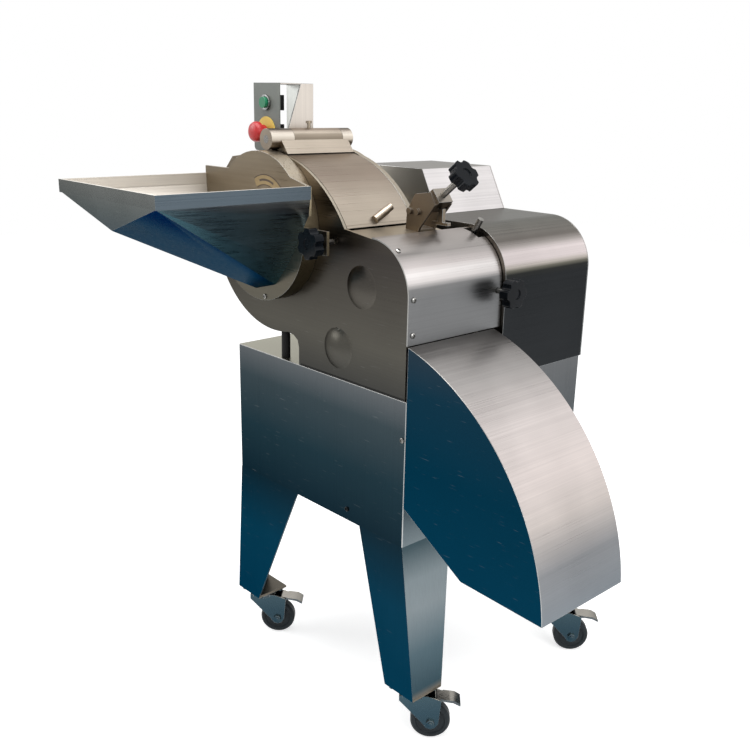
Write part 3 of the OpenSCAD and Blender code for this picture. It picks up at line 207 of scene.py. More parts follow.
# %% [markdown]
# ## Brushed sheet with painted reflections
# Stainless sheet is ground with a belt in one direction, which leaves fine lines and a few long streaks.
# It is a dull mirror, and its reflections are painted into its colour: a face that looks down or to the front
# gets a painted reflection of a dark, bluish floor, a face that looks up or sideways a painted reflection of
# pale walls, and a bend gets painted highlight bands. Those painted bands follow the way a face points, so the
# colour is read from the object's own normal and height, never from the camera. Much of that colour also tints
# the glancing reflection, or a dark sheet would turn white there.
# Grinding lines, cloudy patches and hairline scratches then vary colour, gloss and relief.

# %% The brushed sheet finish, with painted reflections
GRAIN = {"x": (1.6, 420.0, 420.0), "y": (420.0, 1.6, 420.0), "z": (420.0, 420.0, 1.6)}
FULL_HEIGHT = 1.3


def grind(tree, colour, grain, rough, glance):
    """Adds grinding lines, clouds and scratches to a metal colour and sets the metal's gloss."""
    wide = GRAIN[grain]
    streak = tree.noise(wide, detail=3.0, roughness=0.6)
    fine = tree.noise(tuple(4 * value for value in wide), detail=2.0, shift=(3.1, 1.7, 5.3))
    cloud = tree.noise((5.0, 5.0, 5.0), detail=3.0, shift=(7.7, 2.9, 4.1))
    scratch = tree.noise((30.0, 900.0, 600.0), detail=1.0, turn=(0.4, 0.9, 0.6))
    white = tone(255, 255, 255)
    lines = tree.ramp(streak, 0.3, 0.7, [(0.3, tone(241, 241, 241)), (0.7, white)])
    patches = tree.ramp(cloud, 0.3, 0.7, [(0.3, tone(238, 238, 238)), (0.7, white)])
    colour = tree.mix(1.0, colour, lines, "MULTIPLY")
    colour = tree.mix(1.0, colour, patches, "MULTIPLY")
    hairline = tree.span(scratch, 0.72, 0.82, 0.0, 0.12)
    colour = tree.mix(hairline, colour, tone(170, 172, 172))
    tree.put(tree.shader.inputs["Base Color"], colour)
    tree.put(tree.shader.inputs["Specular Tint"], tree.mix(glance, colour, white))
    gloss = tree.span(streak, 0.3, 0.7, rough - 0.05, rough + 0.07)
    gloss = tree.maths("ADD", gloss, tree.span(cloud, 0.4, 0.8, 0.0, 0.1))
    tree.put(tree.shader.inputs["Roughness"], gloss)
    tree.shader.inputs["Metallic"].default_value = 1.0
    tree.bump(tree.maths("ADD", streak, tree.maths("MULTIPLY", fine, 0.6)), 0.05, 0.0003)
    return tree.material


def painted_reflection_sheet(name, tones, by="slope", front=None, painted_top=None, painted_under=None, back=None,
                grain="y", rough=0.3, glance=0.45):
    """Brushed sheet with painted reflections: painted bands run over a face's slope or over the height, painted
    colours replace them on faces that look to the front, up or down, and a plain colour on faces that look back or
    to the left.
    """
    tree = Tree(name)
    upward = tree.axis("Normal", 2)
    height = tree.axis("Object", 2)
    # Painted reflection and highlight bands, over the slope or over the height.
    if by == "slope":
        colour = tree.ramp(upward, -1.0, 1.0, tones)
    else:
        colour = tree.ramp(height, 0.0, FULL_HEIGHT, tones)
    if back:
        colour = tree.mix(tree.span(tree.axis("Normal", 1), 0.5, 0.8), colour, back)
        colour = tree.mix(tree.span(tree.axis("Normal", 0), -0.5, -0.8), colour, back)
    # Painted reflections: one colour for faces that look up, one for faces that look down.
    if painted_top:
        colour = tree.mix(tree.span(upward, 0.5, 0.8), colour, painted_top)
    if painted_under:
        colour = tree.mix(tree.span(upward, -0.5, -0.8), colour, painted_under)
    # Painted reflection on faces that look to the front, over the height.
    if front:
        facing = tree.span(tree.axis("Normal", 1), -0.55, -0.85)
        colour = tree.mix(facing, colour, tree.ramp(height, 0.0, FULL_HEIGHT, front))
    return grind(tree, colour, grain, rough, glance)


plain_back = tone(128, 130, 130)
# Painted reflection: dark bluish towards the bottom, on the front and on faces that look down, paler higher up,
# with a pale painted top.
stand_steel = painted_reflection_sheet(
    "stand_steel",
    [(0.43, tone(110, 120, 124)), (0.5, tone(76, 88, 94)), (0.62, tone(96, 100, 103)),
     (0.72, tone(108, 110, 112))],
    by="height",
    front=[(0.43, tone(20, 36, 45)), (0.55, tone(30, 48, 56)), (0.66, tone(54, 65, 70)),
           (0.72, tone(88, 92, 95))],
    painted_top=tone(190, 188, 175), painted_under=tone(24, 58, 78), back=plain_back, grain="z",
)
leg_steel = painted_reflection_sheet(
    "leg_steel",
    [(0.113, tone(128, 118, 104)), (0.13, tone(60, 80, 89)), (0.21, tone(80, 98, 106)),
     (0.3, tone(122, 131, 135)), (0.36, tone(118, 128, 132)), (0.43, tone(64, 80, 86))],
    by="height",
    front=[(0.11, tone(8, 52, 73)), (0.3, tone(14, 52, 71)), (0.43, tone(20, 38, 48))],
    painted_under=tone(20, 52, 70), back=plain_back, grain="z",
)
print("steel for the stand and the legs")

# %% [markdown]
# ## Finishes of the upper sheets
# The knife cover, the gear housing, the chute's hood and the gate are bent round an axis along the machine.
# Each gets its own painted highlight and reflection bands over the slope, from the flank at 0 to the top at 1.
# The plates round the drum get a painted reflection of a warm wall, so they are beige; the hopper's floor looks
# down and gets a painted reflection of the floor.

# %% Upper sheet finishes
# Painted highlight band at the cover's bend, brightest near slope 0.42, with painted reflections elsewhere.
cover_steel = painted_reflection_sheet(
    "cover_steel",
    [(-1.0, tone(70, 74, 76)), (0.0, tone(124, 125, 126)), (0.18, tone(140, 140, 140)),
     (0.3, tone(236, 230, 228)), (0.42, tone(255, 250, 248)), (0.56, tone(222, 214, 212)),
     (0.75, tone(176, 171, 168)), (1.0, tone(184, 178, 174))],
    front=[(0.8, tone(150, 150, 148)), (1.0, tone(176, 174, 170))], back=plain_back,
)
# Painted highlight band on the housing's rounded corner, between slopes 0.25 and 0.52.
housing_steel = painted_reflection_sheet(
    "housing_steel",
    [(-1.0, tone(46, 49, 51)), (0.0, tone(50, 52, 54)), (0.12, tone(54, 55, 54)),
     (0.19, tone(118, 116, 106)), (0.25, tone(200, 192, 184)), (0.34, tone(232, 221, 220)),
     (0.52, tone(238, 227, 226)), (0.62, tone(180, 173, 169)), (0.72, tone(128, 123, 118)),
     (0.86, tone(132, 129, 124)), (1.0, tone(128, 127, 122))],
    front=[(0.72, tone(60, 58, 55)), (1.0, tone(122, 115, 106))], back=plain_back,
)
# Painted highlight band on the belt box, between slopes 0.35 and 0.6.
box_steel = painted_reflection_sheet(
    "box_steel",
    [(-1.0, tone(60, 60, 60)), (0.0, tone(150, 150, 150)), (0.35, tone(236, 231, 230)),
     (0.6, tone(244, 240, 240)), (0.85, tone(170, 166, 162)), (1.0, tone(150, 147, 142))],
    front=[(1.0, tone(164, 158, 148)), (1.1, tone(172, 166, 156))], back=plain_back,
)
# Painted highlight band on the middle of the hood, and a painted dark bluish reflection on its front.
chute_steel = painted_reflection_sheet(
    "chute_steel",
    [(-1.0, tone(36, 60, 72)), (0.0, tone(124, 132, 138)), (0.12, tone(126, 131, 136)),
     (0.26, tone(140, 142, 145)), (0.42, tone(216, 207, 202)), (0.56, tone(234, 223, 219)),
     (0.72, tone(228, 219, 216)), (0.86, tone(176, 172, 170)), (1.0, tone(130, 128, 126))],
    front=[(0.42, tone(4, 47, 67)), (0.6, tone(4, 43, 61)), (0.74, tone(16, 46, 62)),
           (0.84, tone(42, 54, 64))],
    back=plain_back,
)
# Painted warm reflections on the plates round the drum, and painted bands over the height on the front.
plate_steel = painted_reflection_sheet(
    "plate_steel",
    [(-1.0, tone(58, 56, 50)), (0.0, tone(150, 144, 132)), (1.0, tone(190, 180, 164))],
    front=[(0.72, tone(60, 60, 58)), (0.8, tone(82, 80, 74)), (0.9, tone(76, 73, 68)),
           (0.97, tone(68, 64, 61)), (1.04, tone(92, 85, 75)), (1.1, tone(122, 112, 98)),
           (1.2, tone(138, 128, 114))],
    back=plain_back, grain="x",
)
# Painted highlight band on the gate near slope 0.58.
gate_steel = painted_reflection_sheet(
    "gate_steel",
    [(-1.0, tone(78, 70, 60)), (0.0, tone(150, 138, 122)), (0.4, tone(172, 159, 143)),
     (0.58, tone(192, 180, 165)), (0.72, tone(184, 172, 158)), (0.86, tone(164, 150, 137)),
     (1.0, tone(170, 157, 143))],
    front=[(1.0, tone(110, 100, 86)), (1.2, tone(150, 139, 124))], back=plain_back,
)
# Painted highlight band on the hinge barrel near slope 0.4.
barrel_steel = painted_reflection_sheet(
    "barrel_steel",
    [(-1.0, tone(110, 100, 88)), (-0.4, tone(166, 152, 136)), (0.0, tone(222, 210, 194)),
     (0.4, tone(250, 240, 226)), (0.75, tone(176, 165, 154)), (0.95, tone(122, 115, 107)),
     (1.0, tone(150, 142, 133))],
    front=[(1.1, tone(128, 118, 106)), (1.2, tone(150, 140, 127))], back=plain_back,
)
# Painted reflection on the door, with a painted highlight on its sideways rim.
door_steel = painted_reflection_sheet(
    "door_steel",
    [(-1.0, tone(70, 66, 56)), (-0.4, tone(120, 110, 88)), (0.0, tone(186, 172, 142)),
     (0.4, tone(160, 146, 124)), (1.0, tone(196, 186, 170))],
    front=[(0.85, tone(94, 91, 82)), (1.0, tone(114, 106, 92)), (1.1, tone(126, 116, 101))],
    back=plain_back, grain="x",
)
# Painted reflection: bluish on faces that look down, with painted bands over the slope and over the front's
# height.
hopper_steel = painted_reflection_sheet(
    "hopper_steel",
    [(-1.0, tone(4, 72, 93)), (-0.8, tone(4, 74, 94)), (-0.66, tone(74, 106, 117)),
     (-0.4, tone(120, 125, 130)), (-0.15, tone(134, 142, 146)), (0.0, tone(96, 108, 117)),
     (0.25, tone(140, 137, 128)), (0.7, tone(158, 153, 143)), (1.0, tone(226, 223, 217))],
    front=[(0.98, tone(84, 92, 98)), (1.04, tone(104, 109, 109)), (1.08, tone(122, 124, 122))],
    rough=0.26, glance=0.25,
)
# Painted pale reflection of a ceiling, for the faces inside the hopper.
painted_inside_steel = painted_reflection_sheet(
    "painted_inside_steel",
    [(-1.0, tone(150, 146, 138)), (0.0, tone(232, 225, 215)), (0.4, tone(216, 209, 199)),
     (1.0, tone(240, 236, 229))],
    rough=0.5,
)
# Painted reflections on the bracket and the lock, paler on faces that look sideways or up.
bracket_steel = painted_reflection_sheet(
    "bracket_steel",
    [(-1.0, tone(150, 140, 128)), (0.0, tone(230, 221, 211)), (1.0, tone(210, 206, 200))],
    front=[(1.0, tone(170, 168, 160)), (1.26, tone(206, 208, 204))], back=tone(176, 176, 172), grain="z",
)
lock_steel = painted_reflection_sheet(
    "lock_steel",
    [(-1.0, tone(60, 54, 47)), (0.0, tone(140, 129, 115)), (0.5, tone(176, 168, 158)),
     (1.0, tone(160, 152, 143))],
    front=[(0.95, tone(118, 105, 88)), (1.1, tone(112, 102, 90))], back=plain_back,
)
# Bevel strips: brighter than the sheets for the polish plus a painted highlight, with painted reflection bands
# over the slope.
edge_steel = painted_reflection_sheet(
    "edge_steel",
    [(-1.0, tone(96, 104, 108)), (0.0, tone(164, 166, 166)), (1.0, tone(206, 203, 198))], rough=0.2,
)
# Painted reflection: dark bluish low on the casters' fronts, paler on faces that look up.
zinc_steel = painted_reflection_sheet(
    "zinc_steel",
    [(-1.0, tone(28, 50, 60)), (0.0, tone(70, 84, 90)), (0.4, tone(150, 152, 150)),
     (1.0, tone(190, 186, 176))],
    front=[(0.0, tone(14, 44, 60)), (0.06, tone(24, 58, 74)), (0.113, tone(60, 84, 94))],
    back=plain_back, rough=0.22,
)
# Painted highlight band on the pedal near slope 0.5.
pedal_steel = painted_reflection_sheet(
    "pedal_steel",
    [(-1.0, tone(30, 40, 46)), (0.0, tone(88, 95, 98)), (0.5, tone(198, 196, 190)),
     (0.8, tone(122, 121, 116)), (1.0, tone(182, 178, 170))],
    rough=0.16,
)
# Painted reflection bands over the slope, with a painted highlight near slope 0.6, for shafts, studs and screw
# heads.
shaft_steel = painted_reflection_sheet(
    "shaft_steel",
    [(-1.0, tone(60, 60, 60)), (0.0, tone(128, 128, 126)), (0.6, tone(196, 194, 190)),
     (1.0, tone(150, 148, 144))],
    front=[(0.0, tone(120, 120, 118)), (1.3, tone(140, 138, 134))], rough=0.24,
)
blade_steel = painted_reflection_sheet(
    "blade_steel",
    [(-1.0, tone(90, 94, 96)), (0.0, tone(184, 187, 188)), (1.0, tone(214, 215, 214))], rough=0.16,
)
print(len(bpy.data.materials), "materials so far")

# %% [markdown]
# ## Plastics, rubber and paint
# Star knobs are moulded from black phenolic with a slight gloss and fine dust in the corners. The buffer,
# belts and wheels are rubber: dull, dusty, with scuffs. The control plate has a fine grey powder coat, and
# the buttons are bright moulded plastic. A speckle for the colour, a wider cloud for the gloss and a fine
# grain for the relief make one recipe for all of them.

# %% Moulded and painted finishes


def moulded(name, dark, light, rough, grain_size, relief, cloud_size=18.0, shine=0.5):
    """Plastic, rubber or paint: two near tones, a cloud in the gloss and a fine grain in the relief."""
    tree = Tree(name)
    grain = tree.noise((grain_size,) * 3, detail=3.0)
    cloud = tree.noise((cloud_size,) * 3, detail=3.0, shift=(2.3, 6.1, 1.9))
    blended = tree.maths("ADD", tree.maths("MULTIPLY", grain, 0.45), tree.maths("MULTIPLY", cloud, 0.55))
    speckle = tree.ramp(blended, 0.35, 0.65, [(0.35, dark), (0.65, light)])
    tree.put(tree.shader.inputs["Base Color"], speckle)
    tree.put(tree.shader.inputs["Roughness"], tree.span(cloud, 0.3, 0.7, rough - 0.06, rough + 0.1))
    tree.shader.inputs["Specular IOR Level"].default_value = shine
    tree.bump(grain, relief, 0.0003)
    return tree.material


knob_plastic = moulded("knob_plastic", tone(4, 7, 11), tone(14, 18, 23), 0.22, 900.0, 0.06, shine=0.12)
gland_plastic = moulded("gland_plastic", tone(12, 13, 14), tone(26, 27, 28), 0.4, 900.0, 0.1, shine=0.2)
buffer_rubber = moulded("buffer_rubber", tone(12, 12, 12), tone(28, 27, 26), 0.7, 500.0, 0.2, shine=0.2)
belt_rubber = moulded("belt_rubber", tone(20, 20, 20), tone(44, 43, 41), 0.75, 600.0, 0.2)
tread_rubber = moulded("tread_rubber", tone(16, 22, 26), tone(42, 49, 53), 0.5, 420.0, 0.2, shine=0.2)
panel_paint = moulded("panel_paint", tone(86, 91, 87), tone(104, 108, 103), 0.42, 1400.0, 0.15)
motor_paint = moulded("motor_paint", tone(70, 82, 96), tone(98, 110, 124), 0.4, 700.0, 0.15)
green_plastic = moulded("green_plastic", tone(8, 92, 62), tone(22, 124, 84), 0.3, 500.0, 0.05)
red_plastic = moulded("red_plastic", tone(150, 20, 24), tone(184, 36, 38), 0.3, 500.0, 0.05)
yellow_disc = moulded("yellow_disc", tone(196, 166, 66), tone(220, 192, 92), 0.45, 700.0, 0.05)
gold_film = moulded("gold_film", tone(118, 99, 62), tone(142, 121, 79), 0.42, 600.0, 0.05)
brown_ink = moulded("brown_ink", tone(46, 32, 18), tone(66, 48, 28), 0.5, 600.0, 0.05)
print(len(bpy.data.materials), "materials in all")

# %% [markdown]
# ## Rolled edges on the CAD sheets
# A CAD solid has knife-sharp edges, and light never catches them. A real sheet edge is rolled or ground by
# about a millimetre and shines, because hands polish it. A copy of each node is merged, its coplanar
# triangles are dissolved, and a Bevel modifier rounds the edges. The modifier's own material slot gives the
# rounded strip the brighter edge finish, which stands for the polish and adds a painted highlight, and weighted
# normals keep the flat faces flat. Where two sheets meet flush, as at the cabinet's waist, the edges stay sharp,
# or the joint would show as a groove.

# %% Helper that finishes a CAD node


def only(piece):
    """Selects one object and makes it active."""
    bpy.ops.object.select_all(action="DESELECT")
    piece.select_set(True)
    bpy.context.view_layer.objects.active = piece


def smooth(piece, degrees=32):
    """Smooth shading that stays sharp at real edges, with flat faces kept flat."""
    only(piece)
    bpy.ops.object.shade_smooth_by_angle(angle=math.radians(degrees))
    weighted = piece.modifiers.new("flat_faces", "WEIGHTED_NORMAL")
    weighted.keep_sharp = True
    weighted.weight = 90
    bpy.ops.object.modifier_apply(modifier=weighted.name)


def merged_copy(node):
    """A new object with the node's mesh, merged and with its flat faces in one piece."""
    piece = bpy.data.objects.new(node + "_finished", cad_nodes[node].data.copy())
    bpy.context.scene.collection.objects.link(piece)
    only(piece)
    if piece.data.has_custom_normals:
        bpy.ops.mesh.customdata_custom_splitnormals_clear()
    bpy.ops.object.mode_set(mode="EDIT")
    bpy.ops.mesh.select_all(action="SELECT")
    bpy.ops.mesh.remove_doubles(threshold=2e-6)
    bpy.ops.mesh.dissolve_limited(angle_limit=math.radians(0.3))
    bpy.ops.object.mode_set(mode="OBJECT")
    return piece


def select_none(piece, kind):
    """Deselects a whole mesh, ready to pick its vertices, edges or faces."""
    only(piece)
    bpy.ops.object.mode_set(mode="EDIT")
    bpy.ops.mesh.select_mode(type=kind)
    bpy.ops.mesh.select_all(action="DESELECT")
    bpy.ops.object.mode_set(mode="OBJECT")


def select_sharp(piece, degrees):
    """Selects the edges at which a surface turns by more than an angle."""
    select_none(piece, "EDGE")
    bpy.ops.object.mode_set(mode="EDIT")
    bpy.ops.mesh.edges_select_sharp(sharpness=math.radians(degrees))
    bpy.ops.object.mode_set(mode="OBJECT")


def weigh_edges(piece, seam):
    """Marks the sharp edges for rounding, but not the ones at the height where two sheets meet flush."""
    select_sharp(piece, 34)
    weights = piece.data.attributes.new("bevel_weight_edge", "FLOAT", "EDGE")
    vertices = piece.data.vertices
    for edge in piece.data.edges:
        flush = all(abs(vertices[index].co.z - seam) < 0.5 * MM for index in edge.vertices)
        weights.data[edge.index].value = 1.0 if edge.select and not flush else 0.0


def finish_node(node, material, edge=0.8, edge_material=None, choose=None, extra=(), seam=-1.0):
    """Replaces a CAD node by a copy with rounded edges; choose picks a slot for each face."""
    piece = merged_copy(node)
    piece.data.materials.clear()
    for finish in (material, edge_material or material, *extra):
        piece.data.materials.append(finish)
    for face in piece.data.polygons:
        face.material_index = choose(face.center, face.normal) if choose else 0
    if edge:
        weigh_edges(piece, seam)
        rounding = piece.modifiers.new("rolled_edges", "BEVEL")
        rounding.width = edge * MM
        rounding.segments = 2
        rounding.limit_method = "WEIGHT"
        rounding.material = 1 if edge_material else -1
        bpy.ops.object.modifier_apply(modifier=rounding.name)
    smooth(piece)
    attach(piece, body_of_node[node])
    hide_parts(node)
    return piece


# %% [markdown]
# ## Sheets and plates
# Each sheet gets its finish and the width of its rounded edges in millimetres. The hopper has two finishes:
# outside, a painted dark reflection of the floor, and inside, a painted pale reflection of the ceiling. The
# front plate's edges keep the plate's own finish instead of the brighter edge finish, so its pressed domes get
# no bright rim.

# %% Sheets and plates
sheet_finish = {
    "stand": (stand_steel, 1.5), "legs": (leg_steel, 1.0), "front_plate": (plate_steel, 0.8),
    "drum_casing": (plate_steel, 0.6), "hinge_rings": (barrel_steel, 1.0), "gate": (gate_steel, 0.8),
    "lock_bracket": (lock_steel, 0.8), "lock_block": (lock_steel, 1.0), "door_lugs": (door_steel, 1.0),
    "door": (door_steel, 1.0), "hopper": (hopper_steel, 0.8), "cutter_cover": (cover_steel, 0.8),
    "chute": (chute_steel, 0.8), "gear_housing": (housing_steel, 0.8), "belt_box": (box_steel, 0.8),
    "rear_cover": (housing_steel, 0.8), "control_bracket": (bracket_steel, 0.8),
    "knife_holder": (lock_steel, 0.6), "comb_lever": (shaft_steel, 0.8), "impeller": (plate_steel, 1.0),
}
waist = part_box("legs")[1].z
hopper_low, hopper_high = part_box("hopper")
hopper_middle = (hopper_low + hopper_high) / 2


def hopper_slot(centre, normal):
    """The slot of the painted pale inner reflection for the faces that look into the hopper, else the outer
    finish.
    """
    inward = (hopper_middle - centre).xy.dot(normal.xy)
    return 2 if normal.z > 0.15 or (abs(normal.z) < 0.15 and inward > 0) else 0


for node, (finish, edge) in sheet_finish.items():
    if node == "hopper":
        finish_node(node, finish, edge, edge_steel, hopper_slot, (painted_inside_steel,))
    elif node == "front_plate":
        finish_node(node, finish, edge)
    else:
        finish_node(node, finish, edge, edge_steel, seam=waist)
print("finished", len(sheet_finish), "sheets and plates")

# %% [markdown]
# ## Casters and controls
# The casters' forks, plates and pedals are zinc plated, and the wheels are rubber. On the control station
# one CAD node holds the collars of both buttons, so each face picks its finish by where it lies.

# %% Casters
for corner in ("fl", "fr", "rl", "rr"):
    finish_node("caster_fork_" + corner, zinc_steel, 0.8, edge_steel)
    finish_node("caster_pedal_" + corner, pedal_steel, 0.8, edge_steel)
    finish_node("caster_wheel_" + corner, tread_rubber, 0.8)
finish_node("caster_plates", zinc_steel, 0.8, edge_steel)
print("finished four casters")

# %% Controls
panel_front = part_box("control_panel")[0].y
between_buttons = (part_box("start_button")[0].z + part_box("estop_button")[1].z) / 2


def collar_slot(centre, normal):
    """Bright bezel for the start button, yellow disc for the stop, black blocks behind the panel."""
    if centre.y > panel_front + 1 * MM:
        return 0
    return 2 if centre.z > between_buttons else 3


finish_node("control_panel", panel_paint, 0.8)
collar_finishes = (edge_steel, yellow_disc)
finish_node("button_collars", gland_plastic, 0.6, None, collar_slot, collar_finishes)
finish_node("start_button", green_plastic, 0.8)
finish_node("estop_button", red_plastic, 0.8)
finish_node("cable_glands", gland_plastic, 0.6)
finish_node("drum_buffer", buffer_rubber, 1.0)
print("finished the control station")

# %% [markdown]
# ## The star knobs
# A star knob is moulded in one shot, so its lobes have soft, generous edges, and a bright steel stud comes
# out of its hub. The CAD copy is split into head and stud by distance from the turning axis, which the
# record's joint gives. Only the head's outer edges get the wide bevel, so the small hub keeps its shape.

# %% Star knobs
HUB_RADIUS = 16 * MM
LOBE_ROUNDING = 2.2 * MM


def knob_axis(joint):
    """The turning axis of a knob: a point and a direction, from the record."""
    return Vector(joint["pos_m"]), Vector(joint["axis"]).normalized()


def axis_distance(point, origin, direction):
    """How far a point lies from an axis."""
    offset = point - origin
    return (offset - direction * offset.dot(direction)).length


def star_knob(node, joint_name, stud_radius):
    """The knob's moulded head with soft lobes, and its bright stud, in one piece."""
    origin, direction = knob_axis(joints[joint_name])
    piece = merged_copy(node)
    piece.data.materials.clear()
    piece.data.materials.append(knob_plastic)
    piece.data.materials.append(shaft_steel)
    vertices = piece.data.vertices
    for face in piece.data.polygons:
        radii = [axis_distance(vertices[index].co, origin, direction) for index in face.vertices]
        face.material_index = 1 if max(radii) < stud_radius + 0.3 * MM else 0
    select_sharp(piece, 30)
    vertices = piece.data.vertices
    for edge in piece.data.edges:
        ends = [axis_distance(vertices[index].co, origin, direction) for index in edge.vertices]
        edge.select = edge.select and min(ends) > HUB_RADIUS
    bpy.ops.object.mode_set(mode="EDIT")
    bpy.ops.mesh.bevel(
        offset=LOBE_ROUNDING, offset_type="OFFSET", segments=3, affect="EDGES", clamp_overlap=True
    )
    bpy.ops.object.mode_set(mode="OBJECT")
    smooth(piece, 40)
    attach(piece, body_of_node[node])
    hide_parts(node)
    return piece


for node, joint_name, stud_radius in (
    ("door_knob", "door_knob_turn", 5 * MM),
    ("lock_knob", "lock_knob_turn", 6 * MM),
    ("cover_knob", "cover_knob_turn", 5 * MM),
):
    star_knob(node, joint_name, stud_radius)
print("moulded three star knobs")

# %% [markdown]
# ## Screws
# The knife cover and the rear cover are held by pan-head screws. One head is modelled at the origin from
# a low cylinder: its top is inset and raised for the crown, and inset again and pushed down for a round
# recess. A copy of its mesh then goes to each screw of the CAD model, along that screw's own direction.

# %% Model one screw head
HEAD_RADIUS = 5 * MM
HEAD_HEIGHT = 3 * MM


def select_faces(piece, wanted):
    """Selects the faces of a mesh that a rule picks, and goes to edit mode."""
    select_none(piece, "FACE")
    for face in piece.data.polygons:
        face.select = wanted(face)
    bpy.ops.object.mode_set(mode="EDIT")


def model_screw():
    """A pan head with a round recess, its seat at z = 0 and its crown towards +z."""
    bpy.ops.object.select_all(action="DESELECT")
    bpy.ops.mesh.primitive_cylinder_add(
        vertices=24, radius=HEAD_RADIUS, depth=0.6 * HEAD_HEIGHT, location=(0, 0, 0.3 * HEAD_HEIGHT)
    )
    piece = bpy.context.active_object
    bpy.ops.object.transform_apply(location=True, rotation=True, scale=True)
    select_faces(piece, lambda face: face.normal.z > 0.9)
    bpy.ops.mesh.inset(thickness=0.22 * HEAD_RADIUS, depth=0.28 * HEAD_HEIGHT)
    bpy.ops.mesh.inset(thickness=0.25 * HEAD_RADIUS, depth=0.12 * HEAD_HEIGHT)
    bpy.ops.mesh.inset(thickness=0.02 * HEAD_RADIUS, depth=-0.5 * HEAD_HEIGHT)
    bpy.ops.object.mode_set(mode="OBJECT")
    return piece


pattern_screw = model_screw()
print("screw head with", len(pattern_screw.data.polygons), "faces")

# %% Put a head on every screw


def copy_to(pattern, name, place, direction, body, material):
    """A copy of a pattern piece with its own mesh, its +z turned to a direction."""
    piece = bpy.data.objects.new(name, pattern.data.copy())
    bpy.context.scene.collection.objects.link(piece)
    turn = Vector((0, 0, 1)).rotation_difference(Vector(direction).normalized()).to_matrix().to_4x4()
    piece.data.transform(Matrix.Translation(place) @ turn)
    piece.data.materials.clear()
    piece.data.materials.append(material)
    smooth(piece)
    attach(piece, body)
    return piece


COVER_RADIUS = 97.7
COVER_CENTRE = (-100, 183)
CROWN_ANGLE = math.radians(55)
crown_x = COVER_CENTRE[0] + COVER_RADIUS * math.cos(CROWN_ANGLE)
crown_z = COVER_CENTRE[1] + COVER_RADIUS * math.sin(CROWN_ANGLE)
screw_places = [
    (spot(-2.3, 12, 183), (1, 0, 0)), (spot(-2.3, 12, 120), (1, 0, 0)),
    (spot(crown_x, 12, crown_z), (math.cos(CROWN_ANGLE), 0, math.sin(CROWN_ANGLE))),
]
rear_wall = (stand_high.y - stand_low.y) / MM
for across in (-500, -260, -20):
    for up in (20, 188):
        screw_places.append((spot(across, rear_wall, up), (0, 1, 0)))
for number, (place, direction) in enumerate(screw_places):
    head = copy_to(pattern_screw, f"screw_{number}", place, direction, "base", shaft_steel)
    if number == 0:
        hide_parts("screws")
print("placed", len(screw_places), "screws")

# %% [markdown]
# ## Screws of the cabinet and the door
# Two screws hold the cabinet's front: one near its right edge and one just above the arch between the legs.
# A third sits at the door's lower edge and swings with it. All three reuse the pattern head, which has then
# done its work and is removed.

# %% Cabinet and door screws
door_front = (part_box("door")[0].y - FRONT_FACE) / MM
front_screws = (
    ("cabinet_screw_edge", spot(-8, 0, -74), "base", shaft_steel),
    ("cabinet_screw_arch", spot(-157, 0, -262), "base", knob_plastic),
    ("door_screw", spot(-371, door_front, 134), "door", shaft_steel),
)
for name, place, body, finish in front_screws:
    copy_to(pattern_screw, name, place, (0, -1, 0), body, finish)
bpy.data.objects.remove(pattern_screw)
print(len(front_screws), "more screws")

# %% [markdown]
# ## Hexagon nuts of the casters
# Each wheel's axle is closed by a nut on either side of its fork, and four smaller nuts hold the caster
# plate under the leg. A six-sided cylinder is the start; its rims are bevelled the way a nut is chamfered,
# and the end of the bolt is raised from an inset of the outer face.

# %% Model one nut and place the copies


def model_nut(radius, height):
    """A hexagon nut on z = 0 with the end of its bolt standing out towards +z."""
    bpy.ops.object.select_all(action="DESELECT")
    bpy.ops.mesh.primitive_cylinder_add(
        vertices=6, radius=radius, depth=height, location=(0, 0, height / 2)
    )
    piece = bpy.context.active_object
    bpy.ops.object.transform_apply(location=True, rotation=True, scale=True)
    select_faces(piece, lambda face: face.normal.z > 0.9)
    bpy.ops.mesh.bevel(offset=0.12 * radius, segments=2, affect="EDGES", clamp_overlap=True)
    bpy.ops.object.mode_set(mode="OBJECT")
    select_faces(piece, lambda face: face.normal.z > 0.99 and face.center.z > 0.95 * height)
    bpy.ops.mesh.inset(thickness=0.3 * radius, depth=0)
    bpy.ops.mesh.extrude_region_move(TRANSFORM_OT_translate={"value": (0, 0, 0.35 * height)})
    bpy.ops.mesh.inset(thickness=0.1 * radius, depth=0.06 * height)
    bpy.ops.object.mode_set(mode="OBJECT")
    return piece


axle_nut = model_nut(9 * MM, 5 * MM)
plate_nut = model_nut(6.5 * MM, 4 * MM)
HALF_FORK = 19 * MM
PLATE_NUT_OFFSET = 29 * MM
PLATE_THICKNESS = 4 * MM
plate_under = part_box("caster_plates")[1].z - PLATE_THICKNESS
for corner in ("fl", "fr", "rl", "rr"):
    roll = joints["roll_" + corner]
    swivel = Vector(joints["swivel_" + corner]["pos_m"])
    axle_direction = Vector(roll["axis"]).normalized()
    for side, sign in (("a", 1), ("b", -1)):
        seat = Vector(roll["pos_m"]) + axle_direction * (sign * HALF_FORK)
        copy_to(axle_nut, f"axle_nut_{corner}_{side}", seat, axle_direction * sign,
                "fork_" + corner, zinc_steel)
    for index, (across, along) in enumerate(((-1, -1), (1, -1), (1, 1), (-1, 1))):
        seat_x = swivel.x + across * PLATE_NUT_OFFSET
        seat = Vector((seat_x, swivel.y + along * PLATE_NUT_OFFSET, plate_under))
        copy_to(plate_nut, f"plate_nut_{corner}_{index}", seat, (0, 0, -1),
                "base", zinc_steel)
bpy.data.objects.remove(axle_nut)
bpy.data.objects.remove(plate_nut)
print("nuts on four casters")

# %% [markdown]
# ## Dark strip under the front plate
# A strip of black rubber along the front plate's foot stands in for the dark shadow gap there: painted
# shade. A box at the strip's place gets the edges of its front face rolled, so that it reads as an extruded
# strip.

